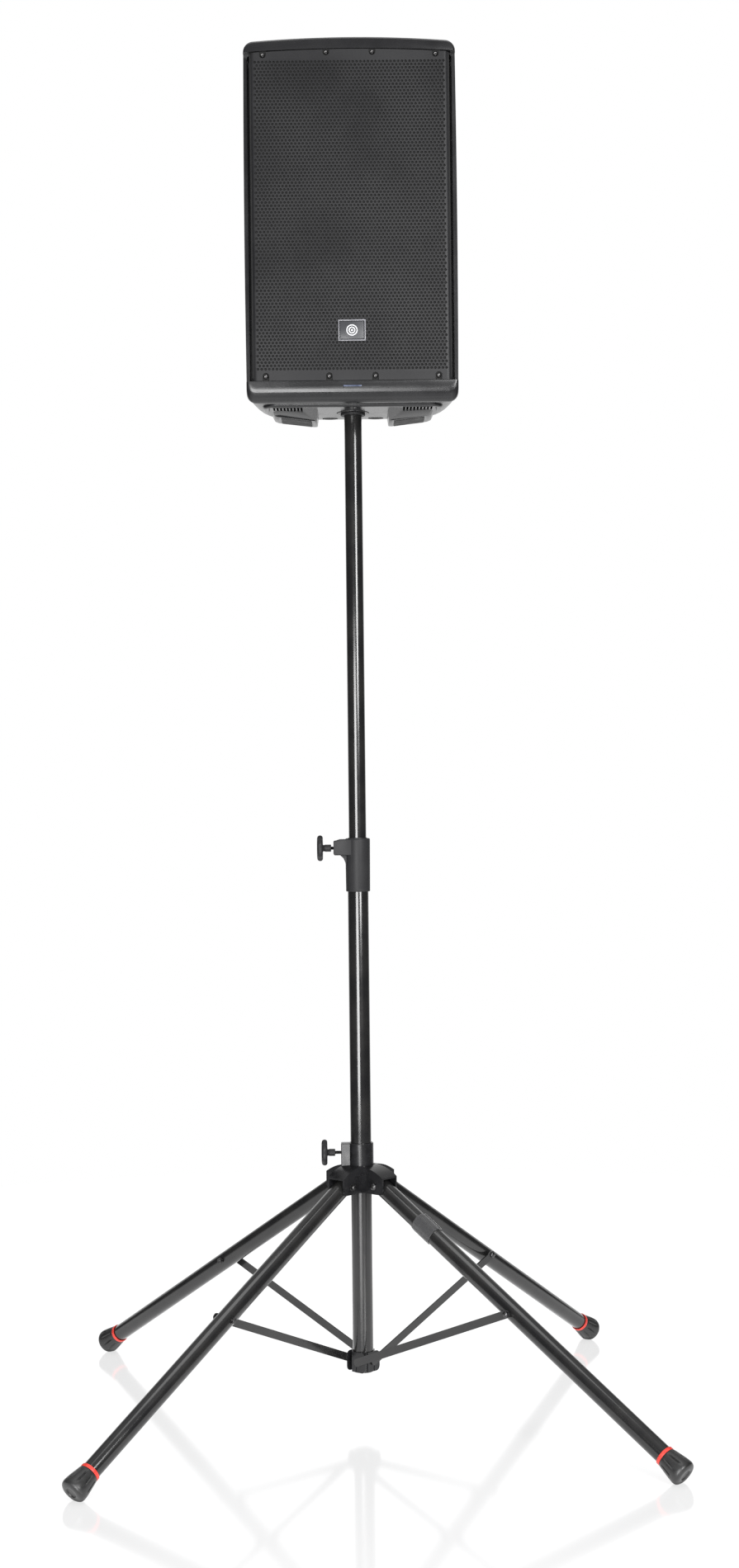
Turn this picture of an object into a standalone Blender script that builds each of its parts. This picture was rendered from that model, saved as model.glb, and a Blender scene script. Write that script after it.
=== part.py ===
"""PA speaker on a four-legged telescopic stand. Metres, +Z up, speaker faces -Y, origin on the floor
under the pole. Every sub-part is its own closed body; moving parts carry their origin on their axis."""
import math

import bmesh
import bpy
from mathutils import Matrix, Vector

for old in list(bpy.data.objects):
    bpy.data.objects.remove(old, do_unlink=True)

# ---------------------------------------------------------------- driving dimensions
GAP = 0.0003                      # gap between pieces that touch

UPPER_R, UPPER_WALL = 0.016, 0.0015
LOWER_R, LOWER_WALL = 0.019, 0.0016
LEG_R, LEG_WALL = 0.016, 0.0015
STAND_TURN = math.radians(3.0)    # the stand is turned a little under the speaker
LEG_ANGLE = math.radians(58.5)    # leg from the vertical, opened
LEG_LENGTH = 0.7282               # pivot to the foot's ring
PIVOT_R = 0.048                   # leg pivots from the pole's axis
FOOT_DROP = 0.03848               # foot ring's centre above the floor
BRACE_AT = 0.358                  # leg pivot to brace bolt, along the leg
COLLAR_PIVOT_R, COLLAR_PIVOT_Z = 0.005, 0.0925
BRACE_SIDE = 0.0222               # brace plane from the leg's axis, just clear of the pole's collar

POLE_FOOT_Z = 0.0725
LOWER_TOP_Z = 0.9995
UPPER_FOOT_Z = 0.775
UPPER_TOP_Z = 1.9150
CLUTCH_Z = (0.9553, 1.0528)
HUB_Z = (0.452, 0.493)
KNOB_R = 0.0238

BASE_Z = 1.838                    # speaker underside
TOP_Z = 2.473                     # corners of the top, the middle is TOP_BOW higher
TOP_BOW = 0.008
HALF_W = 0.1885                   # speaker half width at its ends, SIDE_BOW more in the middle
SIDE_BOW = 0.0015
FRONT_Y, JOINT_Y, REAR_Y = -0.150, -0.095, 0.172
WALL = 0.004
BAFFLE_Y = (-0.109, -0.103)
GRILLE_Z = (1.8695, 2.4530)       # lower edge, and upper edge at the sides
WOOFER_Z, WOOFER_R = 2.034, 0.152
HORN_Z, HORN_W, HORN_H = 2.322, 0.280, 0.200
SOCKET_R, ADAPTER_R = 0.018, 0.0175

PIVOT_Z = FOOT_DROP + LEG_LENGTH * math.cos(LEG_ANGLE)
LEGS = {"front_left": 225, "front_right": 315, "rear_right": 45, "rear_left": 135}

# ---------------------------------------------------------------- materials
MATERIALS = {}


def material(name, colour, rough=0.5, metal=0.0):
    if name not in MATERIALS:
        m = bpy.data.materials.new(name)
        m.use_nodes = True
        b = m.node_tree.nodes["Principled BSDF"]
        b.inputs["Base Color"].default_value = (*colour, 1)
        b.inputs["Roughness"].default_value = rough
        b.inputs["Metallic"].default_value = metal
        MATERIALS[name] = m
    return MATERIALS[name]


TUBE = ("satin black tube", (0.020, 0.020, 0.022), 0.35, 0.0)
CAST = ("black coated casting", (0.022, 0.022, 0.024), 0.45, 0.0)
PLASTIC = ("grey black plastic", (0.040, 0.040, 0.043), 0.6, 0.0)
SHELL = ("textured black shell", (0.018, 0.018, 0.020), 0.55, 0.0)
GRILLE = ("grey black grille", (0.035, 0.035, 0.037), 0.5, 0.2)
RUBBER = ("black rubber", (0.015, 0.015, 0.016), 0.8, 0.0)
RED = ("red ring", (0.55, 0.02, 0.02), 0.5, 0.0)
STEEL = ("zinc steel", (0.55, 0.55, 0.57), 0.35, 1.0)
DARK_STEEL = ("black steel", (0.05, 0.05, 0.055), 0.4, 0.8)
PAPER = ("cone paper", (0.02, 0.02, 0.02), 0.9, 0.0)
LENS = ("led lens", (0.35, 0.40, 0.50), 0.2, 0.0)
BOARD = ("circuit board", (0.02, 0.12, 0.05), 0.5, 0.0)
WEB = ("black webbing", (0.012, 0.012, 0.013), 0.95, 0.0)


# ---------------------------------------------------------------- helpers
def new(name, verts, faces, mat):
    me = bpy.data.meshes.new(name)
    me.from_pydata([tuple(v) for v in verts], [], faces)
    bm = bmesh.new()
    bm.from_mesh(me)
    bmesh.ops.recalc_face_normals(bm, faces=bm.faces)
    bm.to_mesh(me)
    bm.free()
    ob = bpy.data.objects.new(name, me)
    bpy.context.scene.collection.objects.link(ob)
    if mat:
        me.materials.append(material(*mat))
    return ob


def move(ob, matrix):
    ob.data.transform(matrix)
    return ob


def origin_at(ob, point):
    ob.data.transform(Matrix.Translation(-Vector(point)))
    ob.location = point
    return ob


def boolean(target, others, how="DIFFERENCE"):
    """Cuts or joins the others into target, one at a time, and bakes the result."""
    for other in others:
        m = target.modifiers.new("b", "BOOLEAN")
        m.operation, m.solver, m.object = how, "EXACT", other
        bpy.context.view_layer.update()
        got = target.evaluated_get(bpy.context.evaluated_depsgraph_get())
        me = bpy.data.meshes.new_from_object(got)
        target.modifiers.clear()
        mats = list(target.data.materials)
        target.data = me
        me.materials.clear()
        for mat in mats[:1]:
            me.materials.append(mat)
        for p in me.polygons:
            p.material_index = 0
        bpy.data.objects.remove(other, do_unlink=True)
    return target


def tidy_mesh(ob, dist=0.00002):
    bm = bmesh.new()
    bm.from_mesh(ob.data)
    bmesh.ops.remove_doubles(bm, verts=bm.verts, dist=dist)
    bmesh.ops.dissolve_degenerate(bm, edges=bm.edges, dist=dist)
    bmesh.ops.recalc_face_normals(bm, faces=bm.faces)
    bm.to_mesh(ob.data)
    bm.free()
    return ob


def lathe(name, profile, mat, n=32, lobes=None):
    """Closed profile of (radius, height) turned about Z. A radius of 0 makes a pole point."""
    verts, rings = [], []
    for r, z in profile:
        if r < 1e-9:
            rings.append([len(verts)])
            verts.append((0, 0, z))
        else:
            ring = []
            for i in range(n):
                a = 2 * math.pi * i / n
                k = r * lobes(a, r) if lobes else r
                ring.append(len(verts))
                verts.append((k * math.cos(a), k * math.sin(a), z))
            rings.append(ring)
    faces = []
    count = len(rings)
    open_ends = len(rings[0]) == 1 and len(rings[-1]) == 1
    for j in range(count - 1 if open_ends else count):
        a, b = rings[j], rings[(j + 1) % count]
        for i in range(n):
            k = (i + 1) % n
            if len(a) == 1 and len(b) == 1:
                continue
            if len(a) == 1:
                faces.append((a[0], b[i], b[k]))
            elif len(b) == 1:
                faces.append((a[i], a[k], b[0]))
            else:
                faces.append((a[i], a[k], b[k], b[i]))
    return new(name, verts, faces, mat)


def tube(name, r_out, r_in, z0, z1, mat, n=32):
    return lathe(name, [(r_out, z0), (r_out, z1), (r_in, z1), (r_in, z0)], mat, n)


def rod(name, r, z0, z1, mat, n=20):
    return lathe(name, [(0, z0), (r, z0), (r, z1), (0, z1)], mat, n)


def box(name, lo, hi, mat, bevel=0.0, seg=2):
    (a, b, c), (d, e, f) = lo, hi
    v = [(x, y, z) for x in (a, d) for y in (b, e) for z in (c, f)]
    ob = new(name, v, [(0, 1, 3, 2), (4, 6, 7, 5), (0, 4, 5, 1), (2, 3, 7, 6), (0, 2, 6, 4), (1, 5, 7, 3)], mat)
    if bevel:
        bm = bmesh.new()
        bm.from_mesh(ob.data)
        bmesh.ops.bevel(bm, geom=list(bm.edges) + list(bm.verts), offset=bevel, segments=seg,
                        profile=0.5, affect="EDGES")
        bm.to_mesh(ob.data)
        bm.free()
    return ob


def prism(name, outline, depth0, depth1, frame, mat):
    """An outline of (a, b) points extruded along the frame's third axis."""
    n = len(outline)
    verts = [frame @ Vector((a, b, d)) for d in (depth0, depth1) for a, b in outline]
    faces = [tuple(range(n))[::-1], tuple(range(n, 2 * n))]
    faces += [(i, (i + 1) % n, n + (i + 1) % n, n + i) for i in range(n)]
    return new(name, verts, faces, mat)


def axes(origin, x, y, z):
    m = Matrix.Identity(4)
    for i, v in enumerate((x, y, z)):
        m.col[i][:3] = Vector(v)
    m.col[3][:3] = Vector(origin)
    return m


def along(origin, direction, side=None):
    """A frame whose Z runs along direction."""
    z = Vector(direction).normalized()
    x = Vector(side) if side is not None else z.orthogonal()
    x = (x - z * x.dot(z)).normalized()
    return axes(origin, x, z.cross(x), z)


def arc(cx, cy, r, a0, a1, n):
    return [(cx + r * math.cos(math.radians(a0 + (a1 - a0) * i / n)),
             cy + r * math.sin(math.radians(a0 + (a1 - a0) * i / n))) for i in range(n + 1)]


# ---------------------------------------------------------------- pole
upper = tube("upper_tube", UPPER_R, UPPER_R - UPPER_WALL, UPPER_FOOT_Z, UPPER_TOP_Z, TUBE)
origin_at(upper, (0, 0, UPPER_FOOT_Z))
plug_r = LOWER_R - LOWER_WALL - GAP
spigot_r = UPPER_R - UPPER_WALL - GAP
foot_plug = lathe("upper_tube_foot", [(0, UPPER_FOOT_Z - 0.013), (plug_r - 0.001, UPPER_FOOT_Z - 0.013),
                                      (plug_r, UPPER_FOOT_Z - 0.012), (plug_r, UPPER_FOOT_Z - GAP),
                                      (spigot_r, UPPER_FOOT_Z - GAP), (spigot_r, UPPER_FOOT_Z + 0.020),
                                      (0, UPPER_FOOT_Z + 0.020)], PLASTIC, 24)
origin_at(foot_plug, (0, 0, UPPER_FOOT_Z))
lower = tube("lower_tube", LOWER_R, LOWER_R - LOWER_WALL, POLE_FOOT_Z, LOWER_TOP_Z, TUBE)

# clutch collar that clamps the upper tube, with a boss for its hand screw on -X
c0, c1 = CLUTCH_Z
clutch = lathe("clutch_collar", [(0.0225, c0), (0.0228, c0 + 0.002), (0.0228, c1 - 0.0015), (0.0215, c1),
                                 (0.0180, c1), (0.0180, LOWER_TOP_Z + 0.001), (LOWER_R + GAP, LOWER_TOP_Z + 0.001),
                                 (LOWER_R + GAP, c0)], PLASTIC, 32)
SCREW_Z = 1.0352
boss_side = [(-0.0445, 1.0245), (-0.0445, 1.0490), (-0.0430, 1.0505), (-0.019, 1.0505), (-0.019, 1.0040),
             (-0.0225, 1.0040), (-0.0230, 1.0100), (-0.0410, 1.0214)]
xz = axes((0, 0, 0), (1, 0, 0), (0, 0, 1), (0, 1, 0))
boolean(clutch, [prism("t", boss_side, -0.0115, 0.0115, xz, None)], "UNION")
bore_x = along((-0.06, 0, SCREW_Z), (1, 0, 0))
boolean(clutch, [move(rod("t", 0.0180, LOWER_TOP_Z + 0.0011, c1 + 0.01, None, 32), Matrix()),
                 move(rod("t", 0.0034, 0, 0.045, None, 16), bore_x)])
tidy_mesh(clutch)
tube("clutch_bush", 0.0180 - GAP, UPPER_R + 0.0002, LOWER_TOP_Z + 0.0015, c1 + 0.0012, RUBBER)


def star_knob(name, centre_x, stem, z):
    """Hand knob with rounded lobes, head towards -X, with its threaded rod as a separate piece."""
    def lobes(a, r):
        return 1 - 0.075 * (0.5 - 0.5 * math.cos(6 * a)) if r > 0.018 else 1
    head, t = KNOB_R, 0.0053
    prof = [(0, -t), (head - 0.006, -t), (head - 0.002, -t + 0.0012), (head, -0.0016), (head, 0.0020),
            (head - 0.0025, t - 0.0008), (head - 0.007, t), (0.0072, t), (0.0062, t + 0.001),
            (0.0062, t + stem - 0.001), (0.0056, t + stem), (0.0034, t + stem), (0.0034, 0.001), (0, 0.001)]
    ob = lathe(name, prof, PLASTIC, 36, lobes)
    move(ob, along((centre_x, 0, z), (1, 0, 0), (0, 0, 1)))
    return origin_at(ob, (centre_x, 0, z))


star_knob("clutch_knob", -0.0693, 0.0152, SCREW_Z)
screw = move(rod("clutch_screw", 0.0031, 0, 0.0485, STEEL, 16), along((-0.0680, 0, SCREW_Z), (1, 0, 0)))
origin_at(screw, (-0.0680, 0, SCREW_Z))

# ---------------------------------------------------------------- hub
h0, h1 = HUB_Z
HUB_LOW, ARM_END = 0.4050, 0.069
ARM_HALF, CHANNEL_HALF = 0.02025, LEG_R + 0.0005


def arch(r, drop=0.0):
    return h0 + 0.0008 - 0.0168 * max(0.0, (r - 0.021) / 0.048) ** 1.8 - drop


def direction(name):
    a = math.radians(LEGS[name]) + STAND_TURN
    return Vector((math.cos(a), math.sin(a), 0))


hub = lathe("hub", [(0.0230, HUB_LOW), (0.0230, h1 - 0.0012), (0.0220, h1), (LOWER_R + GAP, h1),
                    (LOWER_R + GAP, HUB_LOW)], CAST, 40)
steps = [0.021 + (ARM_END - 0.021) * i / 8 for i in range(9)]
pieces, channels = [], []
for leg in LEGS:
    u = direction(leg)
    side = Vector((0, 0, 1)).cross(u)
    frame = axes((0, 0, 0), u, (0, 0, 1), u.cross(Vector((0, 0, 1))))
    outline = [(0.0195, HUB_LOW), (0.0640, HUB_LOW), (ARM_END, HUB_LOW + 0.005)]
    outline += [(r, arch(r)) for r in reversed(steps)] + [(0.0195, arch(0.021))]
    pieces.append(prism("t", outline, -ARM_HALF, ARM_HALF, frame, None))
    inner = [(0.0260, HUB_LOW - 0.01), (ARM_END + 0.01, HUB_LOW - 0.01), (ARM_END + 0.01, arch(ARM_END, 0.0036))]
    inner += [(r, arch(r, 0.0032)) for r in reversed(steps[1:])] + [(0.0260, arch(0.026, 0.0032))]
    channels.append(prism("t", inner, -CHANNEL_HALF, CHANNEL_HALF, frame, None))
    pivot = u * PIVOT_R + Vector((0, 0, PIVOT_Z))
    channels.append(move(rod("t", 0.0042, -0.03, 0.03, None, 16), along(pivot, side)))
pieces.append(box("t", (-0.0365, -0.0105, h0 - 0.002), (-0.0190, 0.0105, h1 - 0.0004), None, 0.0012, 1))
boolean(hub, pieces, "UNION")
HUB_SCREW_Z = 0.4750
channels.append(rod("t", LOWER_R + GAP, HUB_LOW - 0.02, h1 + 0.02, None, 40))
channels.append(move(rod("t", 0.0034, 0, 0.03, None, 16), along((-0.045, 0, HUB_SCREW_Z), (1, 0, 0))))
boolean(hub, channels)
tidy_mesh(hub)
star_knob("hub_knob", -0.0671, 0.0144, HUB_SCREW_Z)
screw = move(rod("hub_screw", 0.0031, 0, 0.0460, STEEL, 16), along((-0.0658, 0, HUB_SCREW_Z), (1, 0, 0)))
origin_at(screw, (-0.0658, 0, HUB_SCREW_Z))

# ---------------------------------------------------------------- legs, feet, braces
FOOT = [(0.0164, 0.0), (0.0178, 0.0), (0.0182, 0.0020), (0.0196, 0.0100), (0.0212, 0.0200), (0.0225, 0.0280),
        (0.0231, 0.0330), (0.0232, 0.0365), (0.0224, 0.0395), (0.0206, 0.0418), (0.0178, 0.0432), (0.0140, 0.0438),
        (0.0105, 0.0438), (0.0095, 0.0428), (0, 0.0426), (0, 0.0340), (0.0164, 0.0340)]

for leg in LEGS:
    u = direction(leg)
    side = Vector((0, 0, 1)).cross(u)
    down = u * math.sin(LEG_ANGLE) - Vector((0, 0, math.cos(LEG_ANGLE)))
    pivot = u * PIVOT_R + Vector((0, 0, PIVOT_Z))
    frame = along(pivot, down, side)
    bolt_at = pivot + down * BRACE_AT

    body = tube("leg_tube_" + leg, LEG_R, LEG_R - LEG_WALL, -0.012, LEG_LENGTH + 0.0325, TUBE, 28)
    move(body, frame)
    boolean(body, [move(rod("t", 0.0042, -0.03, 0.03, None, 16), along(pivot, side)),
                   move(rod("t", 0.0034, -0.03, 0.03, None, 14), along(bolt_at, side))])
    tidy_mesh(body)
    origin_at(body, pivot)

    ring = tube("foot_ring_" + leg, 0.0179, 0.0163, LEG_LENGTH - 0.0063, LEG_LENGTH - GAP, RED, 28)
    origin_at(move(ring, frame), pivot)
    foot = lathe("foot_" + leg, [(r, LEG_LENGTH + s) for r, s in FOOT], RUBBER, 20)
    move(foot, frame)
    boolean(foot, [box("t", tuple(pivot + down * 0.76 - Vector((0.15, 0.15, 0.2))),
                       tuple(pivot + down * 0.76 + Vector((0.15, 0.15, 0)) * 1.0)[:2] + (0.0,), None)])
    tidy_mesh(foot)
    origin_at(foot, pivot)

    bolt = lathe("leg_bolt_" + leg, [(0, -0.0275), (0.0040, -0.0275), (0.0060, -0.0262), (0.0065, -0.0240),
                                     (0.0065, -ARM_HALF - GAP), (0.0039, -ARM_HALF - GAP),
                                     (0.0039, ARM_HALF + GAP), (0.0068, ARM_HALF + GAP), (0.0068, 0.0245),
                                     (0.0039, 0.0250), (0.0039, 0.0275), (0, 0.0275)], DARK_STEEL, 18)
    origin_at(move(bolt, along(pivot, side)), pivot)

    # brace: a flat bar on the leg's clockwise side, its lower pin riding in the collar's slot
    collar_pin = u * COLLAR_PIVOT_R + Vector((0, 0, COLLAR_PIVOT_Z))
    run = (collar_pin - bolt_at).normalized()
    up = side.cross(run)
    length = (collar_pin - bolt_at).length
    half, thick = 0.0072, 0.0014
    ends = [(-1.0, 0.25), (-0.9, 0.55), (-0.7, 0.78), (-0.4, 0.95), (0.0, 1.0)]
    xs = [(half * a, b) for a, b in ends]
    xs += [(length - half * a, b) for a, b in reversed(ends)]
    verts, faces = [], []
    for s in (-thick, thick):
        for edge in (-half, half):
            for x, k in xs:
                verts.append(bolt_at + run * x + up * edge * k + side * (s - BRACE_SIDE))
    n = len(xs)
    for i in range(n - 1):
        faces += [(i, i + 1, n + i + 1, n + i), (2 * n + i, 3 * n + i, 3 * n + i + 1, 2 * n + i + 1),
                  (i, 2 * n + i, 2 * n + i + 1, i + 1), (n + i, n + i + 1, 3 * n + i + 1, 3 * n + i)]
    faces += [(0, n, 3 * n, 2 * n), (n - 1, 2 * n - 1, 4 * n - 1, 3 * n - 1)]
    brace = new("brace_" + leg, verts, faces, TUBE)
    end_leg = along(bolt_at + side * -BRACE_SIDE, side)
    end_low = along(collar_pin + side * -BRACE_SIDE, side)
    boolean(brace, [move(rod("t", 0.0034, -0.01, 0.01, None, 14), end_leg)])
    boolean(brace, [move(rod("t", 0.0030, -0.0007, BRACE_SIDE - 0.0195, None, 14), end_low)], "UNION")
    tidy_mesh(brace)
    origin_at(brace, bolt_at)

    out = BRACE_SIDE + thick + GAP
    bolt = lathe("brace_bolt_" + leg, [(0, -out - 0.0042), (0.0036, -out - 0.0042), (0.0056, -out - 0.0028),
                                       (0.0058, -out), (0.0031, -out), (0.0031, 2 * thick - out + 2 * GAP),
                                       (0.0056, 2 * thick - out + 2 * GAP), (0.0056, -LEG_R - 0.0008),
                                       (0.0031, -LEG_R - 0.0008), (0.0031, LEG_R + 0.0010),
                                       (0.0058, LEG_R + 0.0010), (0.0058, LEG_R + 0.0050),
                                       (0.0031, LEG_R + 0.0055), (0.0031, LEG_R + 0.0075),
                                       (0, LEG_R + 0.0075)], STEEL, 16)
    origin_at(move(bolt, along(bolt_at, side)), bolt_at)

# strap round the front right leg, just below the hub
u = direction("front_right")
down = u * math.sin(LEG_ANGLE) - Vector((0, 0, math.cos(LEG_ANGLE)))
pivot = u * PIVOT_R + Vector((0, 0, PIVOT_Z))
strap = tube("leg_strap", LEG_R + 0.0014, LEG_R + 0.0002, 0.105, 0.150, WEB, 28)
origin_at(move(strap, along(pivot, down, Vector((0, 0, 1)).cross(u))), pivot)

# collar at the pole's foot: a tangent plate for each brace, its slot open downwards
k0, k1 = 0.0735, 0.1105
collar = tube("brace_collar", 0.0205, LOWER_R + GAP, k0, k1, CAST, 40)
plates, slots = [], []
for leg in LEGS:
    u = direction(leg)
    frame = axes((0, 0, 0), u, (0, 0, 1), u.cross(Vector((0, 0, 1))))
    outline = [(-0.0100, k0), (0.0140, k0)] + arc(0.0140, k0 + 0.0085, 0.0085, -70, 0, 3)
    outline += arc(0.0140, k1 - 0.0085, 0.0085, 0, 90, 4) + [(-0.0100, k1)]
    plates.append(prism("t", outline, 0.0188, 0.0204, frame, None))
    slot = [(COLLAR_PIVOT_R - 0.0034 - 0.0042, k0 - 0.0105), (COLLAR_PIVOT_R + 0.0034, k0 - 0.0105)]
    slot += arc(COLLAR_PIVOT_R, COLLAR_PIVOT_Z, 0.0034, 0, 180, 8)
    slots.append(prism("t", slot, 0.01938, 0.030, frame, None))
boolean(collar, plates, "UNION")
boolean(collar, slots + [rod("t", LOWER_R + GAP, k0 - 0.01, k1 + 0.01, None, 40)])
tidy_mesh(collar)

# ---------------------------------------------------------------- speaker shells
def ring_points(hw, zb, zt, r, bow_top, bow_side, n=4, m=3, bow_low=0.0):
    """Closed outline in (x, z): a rounded rectangle whose top and sides bow outwards."""
    pts = []
    corners = [(hw - r, zt - r, 0), (-hw + r, zt - r, 90), (-hw + r, zb + r, 180), (hw - r, zb + r, 270)]
    for cx, cz, a in corners:
        pts += arc(cx, cz, r, a, a + 90, n)
        nxt = corners[(corners.index((cx, cz, a)) + 1) % 4]
        end, start = pts[-1], arc(nxt[0], nxt[1], r, nxt[2], nxt[2] + 90, n)[0]
        pts += [(end[0] + (start[0] - end[0]) * i / (m + 1), end[1] + (start[1] - end[1]) * i / (m + 1))
                for i in range(1, m + 1)]
    mid = (zb + zt) / 2
    out = []
    for x, z in pts:
        k, v = min(1, abs(x) / hw), min(1, abs(z - mid) / (zt - mid))
        dz = bow_top * (1 - k * k) if z > mid else -bow_low * (1 - k * k)
        out.append((x + math.copysign(bow_side * (1 - v * v), x) * k, z + dz * v))
    return out


def loft(name, sections, mat):
    """Sections of (y, outline) joined in order, capped at both ends."""
    verts, faces = [], []
    n = len(sections[0][1])
    for y, pts in sections:
        verts += [(x, y, z) for x, z in pts]
    for j in range(len(sections) - 1):
        for i in range(n):
            k = (i + 1) % n
            faces.append((j * n + i, j * n + k, (j + 1) * n + k, (j + 1) * n + i))
    faces += [tuple(range(n)), tuple(range((len(sections) - 1) * n, len(sections) * n))]
    return new(name, verts, faces, mat)


REAR = [  # y, half width, bottom, top, corner radius
    (JOINT_Y, HALF_W, BASE_Z, TOP_Z, 0.024), (-0.030, HALF_W - 0.001, BASE_Z, TOP_Z - 0.001, 0.030),
    (0.040, HALF_W - 0.007, BASE_Z, TOP_Z - 0.005, 0.036), (0.075, HALF_W - 0.015, BASE_Z + 0.003, TOP_Z - 0.011, 0.042),
    (0.110, HALF_W - 0.026, BASE_Z + 0.022, TOP_Z - 0.022, 0.046), (0.145, HALF_W - 0.040, BASE_Z + 0.048, TOP_Z - 0.040, 0.046),
    (0.165, HALF_W - 0.050, BASE_Z + 0.062, TOP_Z - 0.052, 0.044), (REAR_Y, HALF_W - 0.060, BASE_Z + 0.072, TOP_Z - 0.062, 0.038)]


def section(y, hw, zb, zt, r, inset=0.0):
    k = min(1.0, max(0.0, (0.13 - y) / 0.1))
    return (y, ring_points(hw - inset, zb + inset, zt - inset, max(0.003, r - inset), TOP_BOW * (0.4 + 0.6 * k),
                           SIDE_BOW))


outer = [section(*s) for s in REAR]
inner = [section(*s, inset=WALL) for s in REAR]
inner[0] = (JOINT_Y, inner[0][1])
inner = inner[:-1] + [(REAR_Y - WALL, section(*REAR[-1], inset=WALL)[1])]
rear = loft("rear_shell", outer + inner[::-1], SHELL)
bm = bmesh.new()                                   # the two end caps become one open front rim
bm.from_mesh(rear.data)
bm.faces.ensure_lookup_table()
n = len(outer[0][1])
caps = [f for f in bm.faces if len(f.verts) == n]
bmesh.ops.delete(bm, geom=caps, context="FACES_ONLY")
bm.verts.ensure_lookup_table()
total = len(bm.verts)
for i in range(n):
    k = (i + 1) % n
    bm.faces.new((bm.verts[i], bm.verts[k], bm.verts[total - n + k], bm.verts[total - n + i]))
mid = len(outer) * n
bmesh.ops.delete(bm, geom=[f for f in bm.faces if {v.index for v in f.verts} & set(range(mid - n, mid))
                           and {v.index for v in f.verts} & set(range(mid, mid + n))], context="FACES_ONLY")
bm.verts.ensure_lookup_table()
bm.faces.new([bm.verts[mid - n + i] for i in range(n)])
bm.faces.new([bm.verts[mid + i] for i in range(n)])
bmesh.ops.recalc_face_normals(bm, faces=bm.faces)
bm.to_mesh(rear.data)
bm.free()

# pocket handles: a box grown inside the shell, then hollowed from outside
TOP_POCKET = ((-0.062, -0.052, 2.430), (0.062, 0.008, 2.520))
SIDE_POCKET = ((0.158, -0.040, 2.090), (0.230, 0.032, 2.235))


def grow(b, d):
    return tuple(v - d for v in b[0]), tuple(v + d for v in b[1])


def inside(cutter):
    """What of the cutter lies inside the cabinet, stopping half way through its wall."""
    body = loft("t", [section(*s, inset=0.0016) for s in REAR], None)
    return boolean(cutter, [body], "INTERSECT")


adds = [inside(box("t", *grow(TOP_POCKET, 0.004), None))]
for s in (-1, 1):
    lo, hi = grow(SIDE_POCKET, 0.004)
    x0, x1 = sorted((s * lo[0], s * hi[0]))
    adds.append(inside(box("t", (x0, lo[1], lo[2]), (x1, hi[1], hi[2]), None)))
# foot blocks: wedge skids under the base, lower on the inside
for s in (-1, 1):
    block = [(s * 0.150, BASE_Z + 0.002), (s * 0.145, BASE_Z - 0.0060), (s * 0.138, BASE_Z - 0.0085),
             (s * 0.072, BASE_Z - 0.0165), (s * 0.066, BASE_Z - 0.0160), (s * 0.063, BASE_Z + 0.002)]
    adds.append(prism("t", block, 0.000, 0.072, xz, None))
boolean(rear, adds, "UNION")
cuts = [box("t", TOP_POCKET[0], TOP_POCKET[1], None, 0.006, 2)]
for s in (-1, 1):
    x0, x1 = sorted((s * SIDE_POCKET[0][0], s * SIDE_POCKET[1][0]))
    cuts.append(box("t", (x0, SIDE_POCKET[0][1], SIDE_POCKET[0][2]), (x1, SIDE_POCKET[1][1], SIDE_POCKET[1][2]),
                    None, 0.006, 2))
PANEL_Z, PANEL_W, PANEL_H = 2.150, 0.190, 0.330
cuts.append(box("t", (-PANEL_W / 2 + 0.008, 0.150, PANEL_Z - PANEL_H / 2 + 0.008),
                (PANEL_W / 2 - 0.008, 0.200, PANEL_Z + PANEL_H / 2 - 0.008), None))
cuts.append(move(rod("t", 0.0212, BASE_Z - 0.02, BASE_Z + 0.02, None, 32), Matrix.Rotation(0.05, 4, "Z")))
# recesses for the rubber pads in the foot blocks
PAD_TILT = math.atan2(0.0080, 0.066)
pads = []
for s in (-1, 1):
    a, b = 0.076, 0.132

    def low(x):
        return BASE_Z - 0.0165 + (x - 0.072) * math.tan(PAD_TILT)
    for grow_by, store in ((0.0, pads), (GAP, cuts)):
        o = [(s * (a - grow_by), low(a - grow_by) + 0.003 + grow_by), (s * (b + grow_by), low(b + grow_by) + 0.003 + grow_by),
             (s * (b + grow_by), low(b + grow_by) - 0.0012 - (0.01 if grow_by else 0)),
             (s * (a - grow_by), low(a - grow_by) - 0.0012 - (0.01 if grow_by else 0))]
        store.append((o, 0.006 - grow_by, 0.066 + grow_by, s))
cuts = [c if not isinstance(c, tuple) else prism("t", c[0], c[1], c[2], xz, None) for c in cuts]
boolean(rear, cuts)
tidy_mesh(rear)
for o, y0, y1, s in pads:
    prism("foot_pad_" + ("left" if s < 0 else "right"), o, y0, y1, xz, RUBBER)

# front shell: bezel at the top, chin at the bottom, baffle set back behind the grille
FRONT = [(FRONT_Y, HALF_W - 0.006, BASE_Z + 0.001, TOP_Z - 0.006, 0.011), (FRONT_Y + 0.0025, HALF_W - 0.0025, BASE_Z - 0.003, TOP_Z - 0.002, 0.013),
         (FRONT_Y + 0.008, HALF_W, BASE_Z - 0.005, TOP_Z, 0.015), (-0.128, HALF_W, BASE_Z - 0.005, TOP_Z, 0.018),
         (-0.122, HALF_W, BASE_Z - 0.001, TOP_Z, 0.020), (JOINT_Y - GAP, HALF_W, BASE_Z, TOP_Z, 0.024)]
front = loft("front_shell", [section(*s) for s in FRONT], SHELL)
back_cut = [(BAFFLE_Y[1], HALF_W, BASE_Z, TOP_Z, 0.022), (-0.090, HALF_W, BASE_Z, TOP_Z, 0.024)]
g0, g1 = GRILLE_Z
front_hole = ring_points(HALF_W - 0.006, g0 - GAP, g1 + GAP, 0.006, TOP_BOW * 0.8, 0.0)
side_cut = ring_points(HALF_W + 0.010, g0 - GAP, g1 + GAP, 0.0005, TOP_BOW * 0.8, 0.0)
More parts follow.
